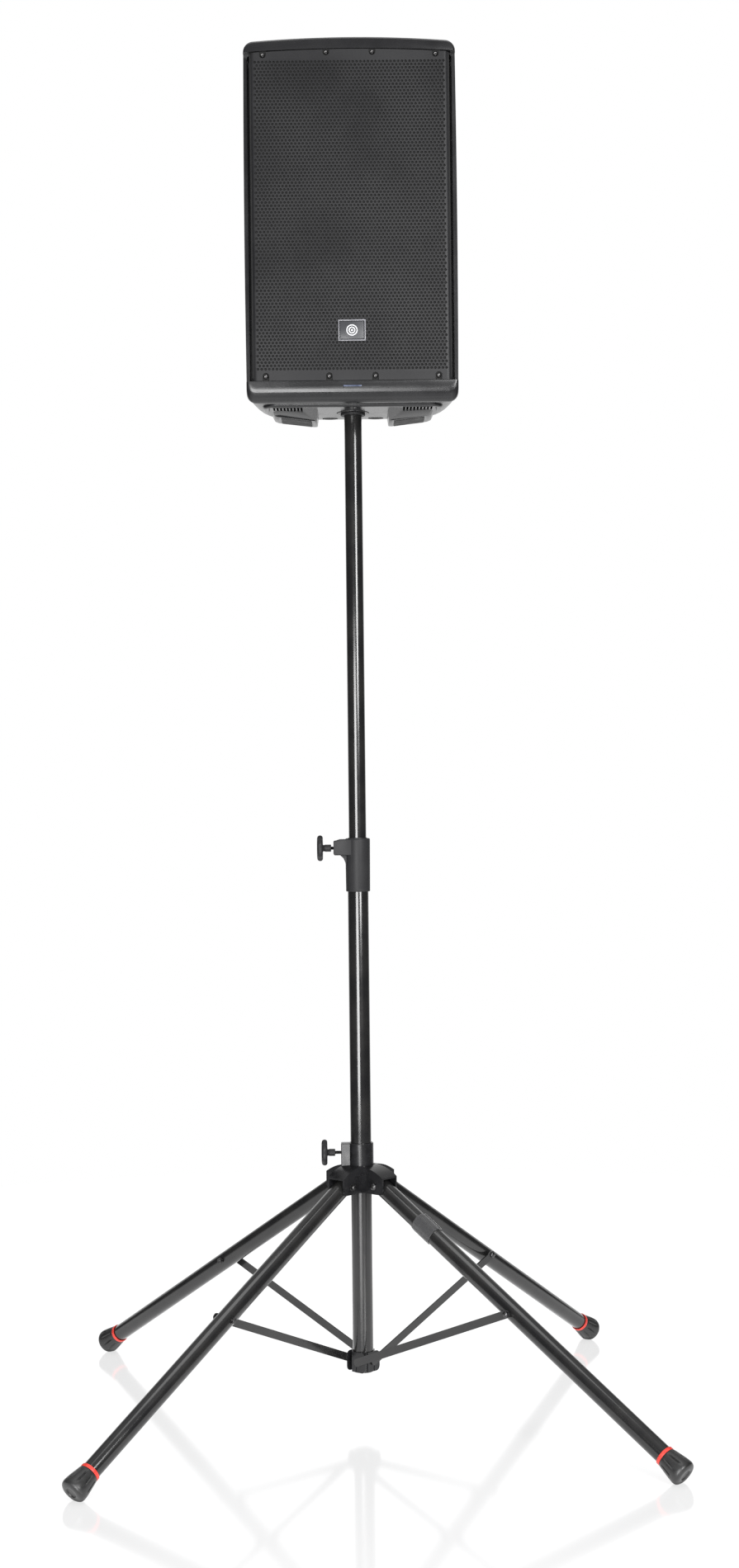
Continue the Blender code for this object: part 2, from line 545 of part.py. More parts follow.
cuts = [loft("t", [section(*s, inset=WALL) for s in back_cut], None),
        loft("t", [(FRONT_Y - 0.02, front_hole), (BAFFLE_Y[0], front_hole)], None),
        loft("t", [(FRONT_Y - 0.02, side_cut), (-0.131, side_cut)], None),
        move(rod("t", WOOFER_R - 0.016, -0.03, 0.03, None, 48), along((0, BAFFLE_Y[0], WOOFER_Z), (0, 1, 0))),
        box("t", (-HORN_W / 2 + 0.014, -0.14, HORN_Z - HORN_H / 2 + 0.014),
            (HORN_W / 2 - 0.014, -0.09, HORN_Z + HORN_H / 2 - 0.014), None),
        box("t", (-0.0165, -0.16, 1.8585), (0.0165, -0.1475, 1.8617), None)]
boolean(front, cuts)
tidy_mesh(front)
led = box("led_window", (-0.0162, -0.1505, 1.8588), (0.0162, -0.1478, 1.8614), LENS)

# grille: one sheet, its long edges rolled back over the cabinet's sides
GR_FRONT, GR_T, GR_HALF, GR_ROLL = -0.1492, 0.0012, 0.1780, 0.010
path = [(-GR_HALF, -0.1315)] + arc(-GR_HALF + GR_ROLL, GR_FRONT + GR_ROLL, GR_ROLL, 180, 270, 5)
path += [(x, GR_FRONT) for x in (-0.12, -0.06, 0.0, 0.06, 0.12)]
path += arc(GR_HALF - GR_ROLL, GR_FRONT + GR_ROLL, GR_ROLL, 270, 360, 5) + [(GR_HALF, -0.1315)]
inner_path = [(-GR_HALF + GR_T, -0.1315)] + arc(-GR_HALF + GR_ROLL, GR_FRONT + GR_ROLL, GR_ROLL - GR_T, 180, 270, 5)
inner_path += [(x, GR_FRONT + GR_T) for x in (-0.12, -0.06, 0.0, 0.06, 0.12)]
inner_path += arc(GR_HALF - GR_ROLL, GR_FRONT + GR_ROLL, GR_ROLL - GR_T, 270, 360, 5) + [(GR_HALF - GR_T, -0.1315)]


def grille_top(x):
    return g1 + TOP_BOW * 0.8 * (1 - (x / (HALF_W - 0.006)) ** 2) - 0.0008


verts, faces = [], []
for pts in (path, inner_path):
    for x, y in pts:
        verts += [(x, y, g0 + 0.0006), (x, y, grille_top(x))]
n = len(path)
for i in range(n - 1):
    a, b = 2 * i, 2 * n + 2 * i
    faces += [(a, a + 2, a + 3, a + 1), (b, b + 1, b + 3, b + 2), (a, b, b + 2, a + 2), (a + 1, a + 3, b + 3, b + 1)]
faces += [(0, 1, 2 * n + 1, 2 * n), (2 * n - 2, 4 * n - 2, 4 * n - 1, 2 * n - 1)]
new("grille", verts, faces, GRILLE)
badge = box("badge", (-0.0245, GR_FRONT - 0.0030, 1.9395), (0.0245, GR_FRONT - GAP, 1.9775), PLASTIC, 0.0012, 2)

# horn: a rectangular flare with a flange, a round throat behind
def rect_ring(w, h, r, y, n=4):
    pts = []
    for cx, cz, a in ((w - r, h - r, 0), (-w + r, h - r, 90), (-w + r, -h + r, 180), (w - r, -h + r, 270)):
        pts += arc(cx, HORN_Z + cz, r, a, a + 90, n)
    return (y, pts)


f = BAFFLE_Y[0] - GAP
w, h = HORN_W / 2, HORN_H / 2
mouth = [rect_ring(w, h, 0.012, f - 0.004), rect_ring(w, h, 0.012, f), rect_ring(w - 0.0145, h - 0.0145, 0.010, f),
         rect_ring(w - 0.0160, h - 0.0180, 0.010, f + 0.010), rect_ring(0.075, 0.050, 0.012, f + 0.045),
         rect_ring(0.034, 0.026, 0.014, f + 0.070), rect_ring(0.032, 0.032, 0.0318, f + 0.076),
         rect_ring(0.032, 0.032, 0.0318, f + 0.084), rect_ring(0.0125, 0.0125, 0.0124, f + 0.084),
         rect_ring(0.0135, 0.0135, 0.0134, f + 0.070), rect_ring(0.0310, 0.0200, 0.012, f + 0.060),
         rect_ring(0.068, 0.045, 0.012, f + 0.038), rect_ring(w - 0.020, h - 0.022, 0.010, f + 0.006),
         rect_ring(w - 0.016, h - 0.017, 0.010, f - 0.004)]
horn = loft("horn", mouth, PLASTIC)
bm = bmesh.new()
bm.from_mesh(horn.data)
bm.verts.ensure_lookup_table()
n = len(mouth[0][1])
bmesh.ops.delete(bm, geom=[x for x in bm.faces if len(x.verts) == n], context="FACES_ONLY")
bm.verts.ensure_lookup_table()
last = (len(mouth) - 1) * n
for i in range(n):
    k = (i + 1) % n
    bm.faces.new((bm.verts[i], bm.verts[k], bm.verts[last + k], bm.verts[last + i]))
bmesh.ops.recalc_face_normals(bm, faces=bm.faces)
bm.to_mesh(horn.data)
bm.free()


def turned(name, profile, centre_z, mat, n=40, lobes=None, x=0.0):
    """Profile of (radius, y) turned about an axis along Y."""
    ob = lathe(name, profile, mat, n, lobes)
    return move(ob, along((x, 0, centre_z), (0, 1, 0), (1, 0, 0)))


d = f + 0.084 + GAP
turned("compression_driver", [(0, d), (0.040, d), (0.043, d + 0.003), (0.043, d + 0.034), (0.050, d + 0.036),
                              (0.050, d + 0.056), (0.046, d + 0.060), (0, d + 0.060)], HORN_Z, DARK_STEEL, 32)

# woofer
R = WOOFER_R
turned("woofer_frame", [(R, f - 0.003), (R, f), (R - 0.0175, f), (R - 0.0190, f + 0.008), (0.0900, f + 0.062),
                        (0.0900, f + 0.078), (0.0300, f + 0.078), (0.0300, f + 0.075), (0.0865, f + 0.075),
                        (0.0865, f + 0.060), (R - 0.0215, f + 0.006), (R - 0.0215, f - 0.003)], WOOFER_Z, DARK_STEEL)
m0 = f + 0.078 + GAP
turned("woofer_magnet", [(0, m0), (0.065, m0), (0.070, m0 + 0.004), (0.070, m0 + 0.026), (0.066, m0 + 0.030),
                         (0, m0 + 0.030)], WOOFER_Z, DARK_STEEL, 36)
cone = turned("woofer_cone", [(0.1130, f + 0.001), (0.1130, f + 0.003), (0.0250, f + 0.057), (0.0250, f + 0.071),
                              (0.0238, f + 0.071), (0.0238, f + 0.056), (0.0400, f + 0.0446), (0.0300, f + 0.034),
                              (0.0150, f + 0.0285), (0, f + 0.0270), (0, f + 0.0255), (0.0150, f + 0.0270),
                              (0.0310, f + 0.0330), (0.0415, f + 0.0425)], WOOFER_Z, PAPER)
origin_at(cone, (0, f + 0.001, WOOFER_Z))
ro, ri = R - 0.0222, 0.1134
mid_r, half_r = (ro + ri) / 2, (ro - ri) / 2
roll = [(mid_r + half_r * math.cos(math.radians(a)), f + 0.002 - 0.0065 * math.sin(math.radians(a)))
        for a in range(0, 181, 36)]
roll_in = [(mid_r + (half_r - 0.001) * math.cos(math.radians(a)), f + 0.002 - 0.0055 * math.sin(math.radians(a)))
           for a in range(180, -1, -36)]
turned("woofer_surround", roll + [(ri, f + 0.003)] + [(p[0], p[1] + 0.001) for p in roll_in] + [(ro, f + 0.003)],
       WOOFER_Z, RUBBER)

# ---------------------------------------------------------------- amplifier panel and its fittings
PY0 = REAR_Y + GAP
PY1 = PY0 + 0.003
panel = box("amp_panel", (-PANEL_W / 2, PY0, PANEL_Z - PANEL_H / 2), (PANEL_W / 2, PY1, PANEL_Z + PANEL_H / 2),
            PLASTIC)
KNOBS = {"volume_knob_1": (-0.045, 2.265), "volume_knob_2": (0.045, 2.265)}
JACKS = {"input_jack_1": (-0.045, 2.205), "input_jack_2": (0.045, 2.205)}
BUTTON, SWITCH, INLET = (0.0, 2.236), (0.045, 2.040), (-0.030, 2.040)
cuts = [turned("t", [(0, 0.16), (0.0034, 0.16), (0.0034, 0.19), (0, 0.19)], z, None, 14, x=x) for x, z in KNOBS.values()]
cuts += [turned("t", [(0, 0.16), (0.0115, 0.16), (0.0115, 0.19), (0, 0.19)], z, None, 24, x=x) for x, z in JACKS.values()]
cuts.append(turned("t", [(0, 0.16), (0.0043, 0.16), (0.0043, 0.19), (0, 0.19)], BUTTON[1], None, 16, x=BUTTON[0]))
cuts.append(box("t", (SWITCH[0] - 0.0105, 0.16, SWITCH[1] - 0.0140), (SWITCH[0] + 0.0105, 0.19, SWITCH[1] + 0.0140), None))
cuts.append(box("t", (INLET[0] - 0.0140, 0.16, INLET[1] - 0.0103), (INLET[0] + 0.0140, 0.19, INLET[1] + 0.0103), None))
fins = [box("t", (-0.078 + 0.012 * i, PY1 - 0.0005, 2.070), (-0.074 + 0.012 * i, PY1 + 0.009, 2.170), None) for i in range(14)]
boolean(panel, fins, "UNION")
boolean(panel, cuts)
tidy_mesh(panel)
for name, (x, z) in KNOBS.items():
    ob = turned(name, [(0, PY1 + 0.0140), (0.0070, PY1 + 0.0140), (0.0080, PY1 + 0.0130), (0.0088, PY1 + 0.0008),
                       (0.0030, PY1 + 0.0008), (0.0030, PY0 - 0.004), (0, PY0 - 0.004)], z, PLASTIC, 24,
                lambda a, r: 1 - 0.03 * (0.5 - 0.5 * math.cos(12 * a)) if r > 0.0069 else 1, x=x)
    origin_at(ob, (x, PY1, z))
for name, (x, z) in JACKS.items():
    turned(name, [(0.0135, PY1 + GAP), (0.0135, PY1 + 0.002), (0.0128, PY1 + 0.0028), (0.0090, PY1 + 0.0028),
                  (0.0085, PY1 + 0.001), (0.0085, PY0 - 0.018), (0, PY0 - 0.018), (0, PY0 - 0.022),
                  (0.0110, PY0 - 0.022), (0.0110, PY1 + GAP)], z, PLASTIC, 24, x=x)
button = turned("mode_button", [(0, PY1 + 0.0035), (0.0035, PY1 + 0.0035), (0.0039, PY1 + 0.003),
                                (0.0039, PY0 - 0.005), (0, PY0 - 0.005)], BUTTON[1], PLASTIC, 16, x=BUTTON[0])
origin_at(button, (BUTTON[0], PY1, BUTTON[1]))
yz = axes((0, 0, 0), (0, 1, 0), (0, 0, 1), (1, 0, 0))
rock_y = PY1 - 0.0040
prof = [(rock_y - 0.004, SWITCH[1] - 0.0085), (rock_y + 0.0045, SWITCH[1] - 0.0125), (rock_y + 0.0040, SWITCH[1]),
        (rock_y + 0.0075, SWITCH[1] + 0.0120), (rock_y - 0.004, SWITCH[1] + 0.0085)]
switch = prism("power_switch", prof, SWITCH[0] - 0.0098, SWITCH[0] + 0.0098, yz, PLASTIC)
origin_at(switch, (SWITCH[0], rock_y, SWITCH[1]))
x, z = INLET
inlet = box("power_inlet", (x - 0.0165, PY1 + GAP, z - 0.0130), (x + 0.0165, PY1 + 0.0025, z + 0.0130), PLASTIC)
boolean(inlet, [box("t", (x - 0.0136, PY0 - 0.020, z - 0.0100), (x + 0.0136, PY1 + 0.001, z + 0.0100), None)], "UNION")
boolean(inlet, [box("t", (x - 0.0118, PY0 - 0.016, z - 0.0080), (x + 0.0118, PY1 + 0.01, z + 0.0080), None)])
pins = [box("t", (x + dx - 0.0010, PY0 - 0.018, z + dz - 0.0020), (x + dx + 0.0010, PY1 - 0.004, z + dz + 0.0020), None)
        for dx, dz in ((-0.007, -0.002), (0.0, 0.002), (0.007, -0.002))]
boolean(inlet, pins, "UNION")
tidy_mesh(inlet)
board = box("amp_board", (-0.075, 0.128, PANEL_Z - 0.140), (0.075, 0.130, PANEL_Z + 0.150), BOARD)
parts = [box("t", (-0.060, 0.095, 2.050), (-0.005, 0.1285, 2.110), None),
         box("t", (0.012, 0.110, 2.030), (0.060, 0.1285, 2.085), None),
         turned("t", [(0, 0.100), (0.012, 0.100), (0.012, 0.1285), (0, 0.1285)], 2.150, None, 16, x=-0.030),
         turned("t", [(0, 0.100), (0.012, 0.100), (0.012, 0.1285), (0, 0.1285)], 2.150, None, 16, x=0.010)]
boolean(board, parts, "UNION")
tidy_mesh(board)

# ---------------------------------------------------------------- pole adapter and socket
s0 = BASE_Z - 0.0030
socket = lathe("pole_socket", [(0.0290, s0), (0.0290, BASE_Z - GAP), (0.0210, BASE_Z - GAP), (0.0210, BASE_Z + 0.088),
                               (0, BASE_Z + 0.088), (0, BASE_Z + 0.0855), (SOCKET_R, BASE_Z + 0.0855),
                               (SOCKET_R, s0)], DARK_STEEL, 32)
a1 = BASE_Z + 0.0845
adapter = lathe("pole_adapter", [(0.0225, s0 - 0.0045), (0.0225, s0 - GAP), (ADAPTER_R, s0 - GAP), (ADAPTER_R, a1 - 0.001),
                                 (ADAPTER_R - 0.001, a1), (0, a1), (0, UPPER_TOP_Z + GAP), (UPPER_R + 0.0002, UPPER_TOP_Z + GAP),
                                 (UPPER_R + 0.0002, s0 - 0.0045)], PLASTIC, 32)
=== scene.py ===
"""Looks of a PA speaker on a four-legged telescopic stand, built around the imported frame.

Metres, +Z up, the speaker faces -Y and the pole stands on the origin. Round and moulded pieces are made
again here at full resolution. Pieces whose CAD shape is right are copied, softened and given a finish.
"""
import math

import bmesh
import bpy
from mathutils import Matrix, Vector


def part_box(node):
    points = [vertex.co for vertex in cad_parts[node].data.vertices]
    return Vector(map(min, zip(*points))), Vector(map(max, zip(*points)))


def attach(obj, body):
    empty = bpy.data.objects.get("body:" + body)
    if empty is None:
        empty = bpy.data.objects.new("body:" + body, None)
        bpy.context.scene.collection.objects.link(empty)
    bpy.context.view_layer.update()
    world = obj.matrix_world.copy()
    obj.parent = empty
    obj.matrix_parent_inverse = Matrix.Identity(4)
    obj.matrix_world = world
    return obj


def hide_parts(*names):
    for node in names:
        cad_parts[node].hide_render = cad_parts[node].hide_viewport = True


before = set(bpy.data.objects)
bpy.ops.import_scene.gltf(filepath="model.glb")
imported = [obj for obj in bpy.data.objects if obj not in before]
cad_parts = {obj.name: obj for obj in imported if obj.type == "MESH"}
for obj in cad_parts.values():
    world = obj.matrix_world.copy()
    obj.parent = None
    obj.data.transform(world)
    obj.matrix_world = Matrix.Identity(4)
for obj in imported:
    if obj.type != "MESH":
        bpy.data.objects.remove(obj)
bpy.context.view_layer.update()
scene = bpy.context.scene
scene.view_settings.view_transform = "Standard"

# -------------------------------------------- dimensions, from the frame where it has them
GAP = 0.0003


def low(node):
    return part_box(node)[0]


def high(node):
    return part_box(node)[1]


UPPER_R, LOWER_R, LEG_R = high("upper_tube").x, high("lower_tube").x, 0.016
TUBE_WALL = 0.0015
STAND_TURN = math.radians(3.0)
LEG_ANGLE = math.radians(58.5)
LEG_LENGTH, PIVOT_R, FOOT_DROP, BRACE_AT = 0.7282, 0.048, 0.03848, 0.358
PIVOT_Z = FOOT_DROP + LEG_LENGTH * math.cos(LEG_ANGLE)
BRACE_SIDE, BRACE_THICK = 0.0222, 0.0014
ARM_HALF = 0.02025
LEGS = {"front_left": 225, "front_right": 315, "rear_right": 45, "rear_left": 135}
KNOB_R = 0.0238
SCREW_Z, HUB_SCREW_Z = 1.0352, 0.4750

BASE_Z, TOP_Z, TOP_BOW = 1.838, 2.473, 0.008
HALF_W, SIDE_BOW = 0.1885, 0.0015
FRONT_Y, JOINT_Y, REAR_Y = -0.150, -0.095, 0.172
WALL = 0.004
BAFFLE_Y = (-0.109, -0.103)
GRILLE_Z = (1.8695, 2.4530)
EDGE_BOW = TOP_BOW * 0.8
WOOFER_Z, WOOFER_R = 2.034, 0.152
HORN_Z, HORN_W, HORN_H = 2.322, 0.280, 0.200
PANEL_Z, PANEL_W = 2.150, 0.190
PANEL_Y = REAR_Y + GAP + 0.003

# ---------------------------------------------------------------- camera
FLOOR_GLOW = 0.66
CAMERA_AT = Vector((0.0, -4.2, 1.1525))
YAW, ROLL = 0.0055, -0.011
LENS = 52.37                      # on the 36 mm long side


def make_camera():
    data = bpy.data.cameras.new("camera")
    data.lens, data.sensor_width, data.sensor_fit = LENS, 36.0, "AUTO"
    data.clip_start, data.clip_end = 0.05, 100.0
    camera = bpy.data.objects.new("camera", data)
    scene.collection.objects.link(camera)
    forward = Vector((math.sin(YAW), math.cos(YAW), 0))
    level = Vector((math.cos(YAW), -math.sin(YAW), 0))
    right = level * math.cos(ROLL) + Vector((0, 0, math.sin(ROLL)))
    up = level * -math.sin(ROLL) + Vector((0, 0, math.cos(ROLL)))
    m = Matrix.Identity(4)
    for i, v in enumerate((right, up, -forward, CAMERA_AT)):
        m.col[i][:3] = v
    camera.matrix_world = m
    scene.camera = camera


make_camera()


# ---------------------------------------------------------------- node materials
class Graph:
    """The nodes of a material or of the world, with short forms for the ones that are used often."""

    def __init__(self, tree):
        self.nodes, self.links = tree.nodes, tree.links

    def link(self, a, b):
        self.links.new(a, b)
        return b

    def put(self, socket, value):
        if isinstance(value, (int, float)):
            socket.default_value = value
        elif isinstance(value, tuple):
            socket.default_value = (*value, 1.0) if len(value) == 3 and socket.type == "RGBA" else value
        else:
            self.links.new(value, socket)

    def math(self, kind, a, b=0.0, clamp=False):
        n = self.nodes.new("ShaderNodeMath")
        n.operation, n.use_clamp = kind, clamp
        self.put(n.inputs[0], a)
        self.put(n.inputs[1], b)
        return n.outputs[0]

    def span(self, value, a, b, to_a=0.0, to_b=1.0):
        """value from a..b becomes to_a..to_b, held at its ends."""
        n = self.nodes.new("ShaderNodeMapRange")
        n.interpolation_type = "SMOOTHSTEP"
        self.put(n.inputs["Value"], value)
        for key, v in zip(("From Min", "From Max", "To Min", "To Max"), (a, b, to_a, to_b)):
            n.inputs[key].default_value = v
        return n.outputs["Result"]


class Finish(Graph):
    """A Principled material built from noise in the piece's own space."""

    def __init__(self, name, **sockets):
        self.material = bpy.data.materials.new(name)
        self.material.use_nodes = True
        super().__init__(self.material.node_tree)
        self.shader = self.nodes["Principled BSDF"]
        for key, value in sockets.items():
            self.shader.inputs[key.replace("_", " ")].default_value = value
        self.place = self.nodes.new("ShaderNodeTexCoord").outputs["Object"]

    def stretched(self, stretch):
        n = self.nodes.new("ShaderNodeMapping")
        n.inputs["Scale"].default_value = stretch
        self.link(self.place, n.inputs["Vector"])
        return n.outputs[0]

    def noise(self, scale, detail=3.0, rough=0.5, stretch=(1, 1, 1)):
        n = self.nodes.new("ShaderNodeTexNoise")
        n.inputs["Scale"].default_value = scale
        n.inputs["Detail"].default_value = detail
        n.inputs["Roughness"].default_value = rough
        self.link(self.stretched(stretch), n.inputs["Vector"])
        return n.outputs["Fac"]

    def cells(self, scale, feature="F1", stretch=(1, 1, 1)):
        n = self.nodes.new("ShaderNodeTexVoronoi")
        n.feature = feature
        n.inputs["Scale"].default_value = scale
        self.link(self.stretched(stretch), n.inputs["Vector"])
        return n.outputs["Distance"]

    def wave(self, scale, direction, distortion=0.0):
        n = self.nodes.new("ShaderNodeTexWave")
        n.bands_direction = direction
        n.inputs["Scale"].default_value = scale
        n.inputs["Distortion"].default_value = distortion
        self.link(self.place, n.inputs["Vector"])
        return n.outputs["Fac"]

    def blend(self, factor, a, b):
        n = self.nodes.new("ShaderNodeMix")
        n.data_type = "RGBA"
        self.put(n.inputs["Factor"], factor)
        self.put(n.inputs[6], a)
        self.put(n.inputs[7], b)
        return n.outputs[2]

    def relief(self, height, distance, strength=1.0, over=None):
        n = self.nodes.new("ShaderNodeBump")
        n.inputs["Strength"].default_value = strength
        n.inputs["Distance"].default_value = distance
        self.link(height, n.inputs["Height"])
        if over is not None:
            self.link(over, n.inputs["Normal"])
        return n.outputs[0]

    def done(self, colour, rough, normal=None):
        self.put(self.shader.inputs["Base Color"], colour)
        self.put(self.shader.inputs["Roughness"], rough)
        if normal is not None:
            self.link(normal, self.shader.inputs["Normal"])
        return self.material


def tube_paint(name, stretch):
    """Satin black baked paint: faint orange peel, cloudy gloss, hairline scuffs along the tube."""
    f = Finish(name, Specular_IOR_Level=0.5)
    clouds = f.noise(22, 4)
    scuffs = f.span(f.noise(1.0, 2, 0.6, stretch), 0.70, 0.80)
    specks = f.span(f.cells(420), 0.055, 0.03)
    colour = f.blend(f.span(clouds, 0.3, 0.7), (0.0075, 0.0075, 0.0080), (0.0125, 0.0122, 0.0120))
    colour = f.blend(f.math("MULTIPLY", scuffs, 0.4), colour, (0.045, 0.044, 0.043))
    colour = f.blend(f.math("MULTIPLY", specks, 0.45), colour, (0.09, 0.09, 0.09))
    rough = f.span(clouds, 0.25, 0.75, 0.14, 0.19)
    rough = f.math("ADD", rough, f.math("MULTIPLY", scuffs, 0.12))
    peel = f.relief(f.noise(420, 2), 0.000008, 0.35)
    return f.done(colour, rough, f.relief(scuffs, 0.00001, 0.3, peel))


def casting_paint():
    """Thick black powder coat on a pressed or cast piece: small dimples and a few lighter chips."""
    f = Finish("black_casting", Specular_IOR_Level=0.34)
    clouds, dimples = f.noise(40, 4), f.noise(1400, 2)
    chips = f.span(f.cells(160), 0.10, 0.05)
    colour = f.blend(f.span(clouds, 0.3, 0.7), (0.005, 0.005, 0.0055), (0.010, 0.010, 0.011))
    colour = f.blend(f.math("MULTIPLY", chips, 0.35), colour, (0.07, 0.07, 0.07))
    return f.done(colour, f.span(clouds, 0.2, 0.8, 0.22, 0.32), f.relief(dimples, 0.00001, 0.4))


def grained_plastic(name, dark, light, rough_low, rough_high, grain=1500.0, depth=0.00005,
                    shine=0.45):
    """Moulded plastic with a fine spark-eroded grain, a little polished by handling."""
    f = Finish(name, Specular_IOR_Level=shine)
    clouds, fine = f.noise(9, 5, 0.6), f.noise(grain, 3, 0.6)
    pits = f.cells(grain * 0.55)
    colour = f.blend(f.span(clouds, 0.3, 0.7), dark, light)
    colour = f.blend(f.span(fine, 0.62, 0.75, 0.0, 0.35), colour, tuple(min(1.0, c * 1.9) for c in light))
    rough = f.span(clouds, 0.3, 0.7, rough_low, rough_high)
    rough = f.math("ADD", rough, f.span(fine, 0.3, 0.7, -0.05, 0.05))
    surface = f.relief(pits, depth, 0.5)
    return f.done(colour, rough, f.relief(fine, depth * 0.7, 0.4, surface))


def grille_coat():
    """Powder-coated perforated steel, dusty grey-black with a fine dry texture."""
    f = Finish("grey_black_grille", Specular_IOR_Level=0.24)
    clouds, fine = f.noise(7, 4), f.noise(1800, 3)
    colour = f.blend(f.span(clouds, 0.3, 0.7), (0.010, 0.010, 0.011), (0.015, 0.015, 0.016))
    colour = f.blend(f.span(fine, 0.6, 0.78, 0.0, 0.4), colour, (0.035, 0.035, 0.037))
    return f.done(colour, f.span(clouds, 0.3, 0.7, 0.40, 0.50), f.relief(fine, 0.00001, 0.35))


def rubber(name="black_rubber", tone=0.011, rough=(0.36, 0.50)):
    f = Finish(name, Specular_IOR_Level=0.5)
    clouds, dust = f.noise(70, 4), f.noise(260, 5, 0.7)
    colour = f.blend(f.span(clouds, 0.3, 0.7), (tone * 0.7,) * 3, (tone, tone, tone * 1.04))
    colour = f.blend(f.span(dust, 0.60, 0.80, 0.0, 0.30), colour, (0.10, 0.097, 0.09))
    return f.done(colour, f.span(clouds, 0.25, 0.75, *rough), f.relief(f.noise(900, 3), 0.00005, 0.35))


def red_plastic():
    f = Finish("red_ring", Specular_IOR_Level=0.5)
    clouds = f.noise(160, 3)
    colour = f.blend(f.span(clouds, 0.3, 0.7), (0.42, 0.020, 0.013), (0.56, 0.034, 0.021))
    return f.done(colour, f.span(clouds, 0.3, 0.7, 0.35, 0.5), f.relief(f.noise(1400, 2), 0.00003, 0.3))


def steel(name, dark, light, rough_low, rough_high):
    """Blackened steel, faintly brushed."""
    f = Finish(name, Metallic=1.0)
    clouds = f.noise(210, 4)
    brush = f.noise(1.0, 2, 0.5, (3000, 3000, 240))
    colour = f.blend(f.span(clouds, 0.3, 0.7), dark, light)
    rough = f.span(clouds, 0.3, 0.7, rough_low, rough_high)
    rough = f.math("ADD", rough, f.span(brush, 0.3, 0.7, -0.06, 0.06))
    return f.done(colour, rough, f.relief(brush, 0.00003, 0.5))


def cone_paper():
    f = Finish("cone_paper", Specular_IOR_Level=0.25)
    fibre = f.noise(600, 5, 0.7)
    colour = f.blend(f.span(fibre, 0.3, 0.7), (0.010, 0.010, 0.010), (0.024, 0.023, 0.022))
    return f.done(colour, f.span(fibre, 0.3, 0.7, 0.75, 0.95), f.relief(fibre, 0.0003, 0.5))


def led_lens():
    f = Finish("led_lens", Specular_IOR_Level=0.6, Coat_Weight=0.4, Coat_Roughness=0.08)
    glow = f.noise(90, 2)
    colour = f.blend(f.span(glow, 0.3, 0.7), (0.040, 0.050, 0.085), (0.070, 0.085, 0.140))
    return f.done(colour, f.span(glow, 0.3, 0.7, 0.15, 0.3))


def circuit_board():
    f = Finish("circuit_board", Specular_IOR_Level=0.5)
    tracks = f.span(f.cells(190, "DISTANCE_TO_EDGE"), 0.03, 0.06)
    colour = f.blend(tracks, (0.10, 0.28, 0.12), (0.012, 0.07, 0.03))
    return f.done(colour, f.span(f.noise(60), 0.3, 0.7, 0.35, 0.55), f.relief(tracks, 0.0001, 0.5))


def webbing():
    """Woven nylon: warp and weft waves around and along the strap."""
    f = Finish("black_webbing", Specular_IOR_Level=0.3, Sheen_Weight=0.35, Sheen_Roughness=0.5)
    weft, fuzz = f.wave(150, "Z", 0.6), f.noise(1500, 4, 0.7)
    warp = f.noise(1.0, 2, 0.5, (1100, 1100, 260))
    weave = f.math("MULTIPLY", weft, f.span(warp, 0.3, 0.7, 0.4, 1.0))
    colour = f.blend(weave, (0.014, 0.014, 0.015), (0.040, 0.040, 0.042))
    colour = f.blend(f.span(fuzz, 0.62, 0.8, 0.0, 0.3), colour, (0.08, 0.08, 0.082))
    return f.done(colour, f.span(fuzz, 0.3, 0.7, 0.8, 0.97), f.relief(weave, 0.0006, 0.8))


TUBE = tube_paint("satin_black_tube", (2600, 2600, 34))
LEG_PAINT = tube_paint("satin_black_leg", (300, 300, 300))
CAST, GRILLE = casting_paint(), grille_coat()
PLASTIC = grained_plastic("grey_black_plastic", (0.015, 0.015, 0.016), (0.022, 0.022, 0.023),
                          0.42, 0.52, 1500.0, 0.00001, 0.15)
SHELL = grained_plastic("textured_black_shell", (0.008, 0.008, 0.0087), (0.012, 0.012, 0.013),
                        0.22, 0.28, 1300.0, 0.000006, 0.4)
# A lighter copy of the shell plastic for the underside pan: painted light from the floor below.
BASE_FLOOR_LIT = grained_plastic("base_shell_floor_lit", (0.020, 0.020, 0.021), (0.028, 0.028, 0.030),
                       0.20, 0.27, 1300.0, 0.00001)
PANEL = grained_plastic("panel_black", (0.020, 0.020, 0.021), (0.028, 0.028, 0.030),
                        0.45, 0.6, 1900.0, 0.00004)
PLATE = grained_plastic("badge_grey", (0.026, 0.027, 0.031), (0.036, 0.037, 0.042),
                        0.35, 0.5, 1200.0, 0.00001)
# Light grey rim: a painted highlight along the badge's raised edges.
RIM_HIGHLIGHT = grained_plastic("badge_rim_highlight", (0.13, 0.13, 0.14), (0.18, 0.18, 0.20),
                      0.30, 0.42, 1200.0, 0.00001)
BRIGHT = grained_plastic("silver_print", (0.46, 0.465, 0.48), (0.56, 0.565, 0.58),
                         0.3, 0.42, 1500.0, 0.00001)
BLACK_STEEL = steel("black_steel", (0.045, 0.045, 0.048), (0.105, 0.103, 0.102), 0.28, 0.44)
RUBBER, PAD = rubber(), rubber("pad_rubber", 0.009, (0.55, 0.75))
FOAM = rubber("dark_foam", 0.006, (0.85, 0.98))
RED, PAPER, LENS_BLUE, BOARD, WEB = red_plastic(), cone_paper(), led_lens(), circuit_board(), webbing()


# ---------------------------------------------------------------- mesh helpers
def new(name, verts, faces, mat, smooth=35.0):
    me = bpy.data.meshes.new(name)
    me.from_pydata([tuple(v) for v in verts], [], faces)
    bm = bmesh.new()
    bm.from_mesh(me)
    bmesh.ops.recalc_face_normals(bm, faces=bm.faces)
    bm.to_mesh(me)
    bm.free()
    ob = bpy.data.objects.new(name, me)
    scene.collection.objects.link(ob)
    if mat:
        me.materials.append(mat)
    return shade(ob, smooth)


def shade(ob, angle=35.0):
    ob.data.shade_smooth()
    ob.data.set_sharp_from_angle(angle=math.radians(angle))
    return ob


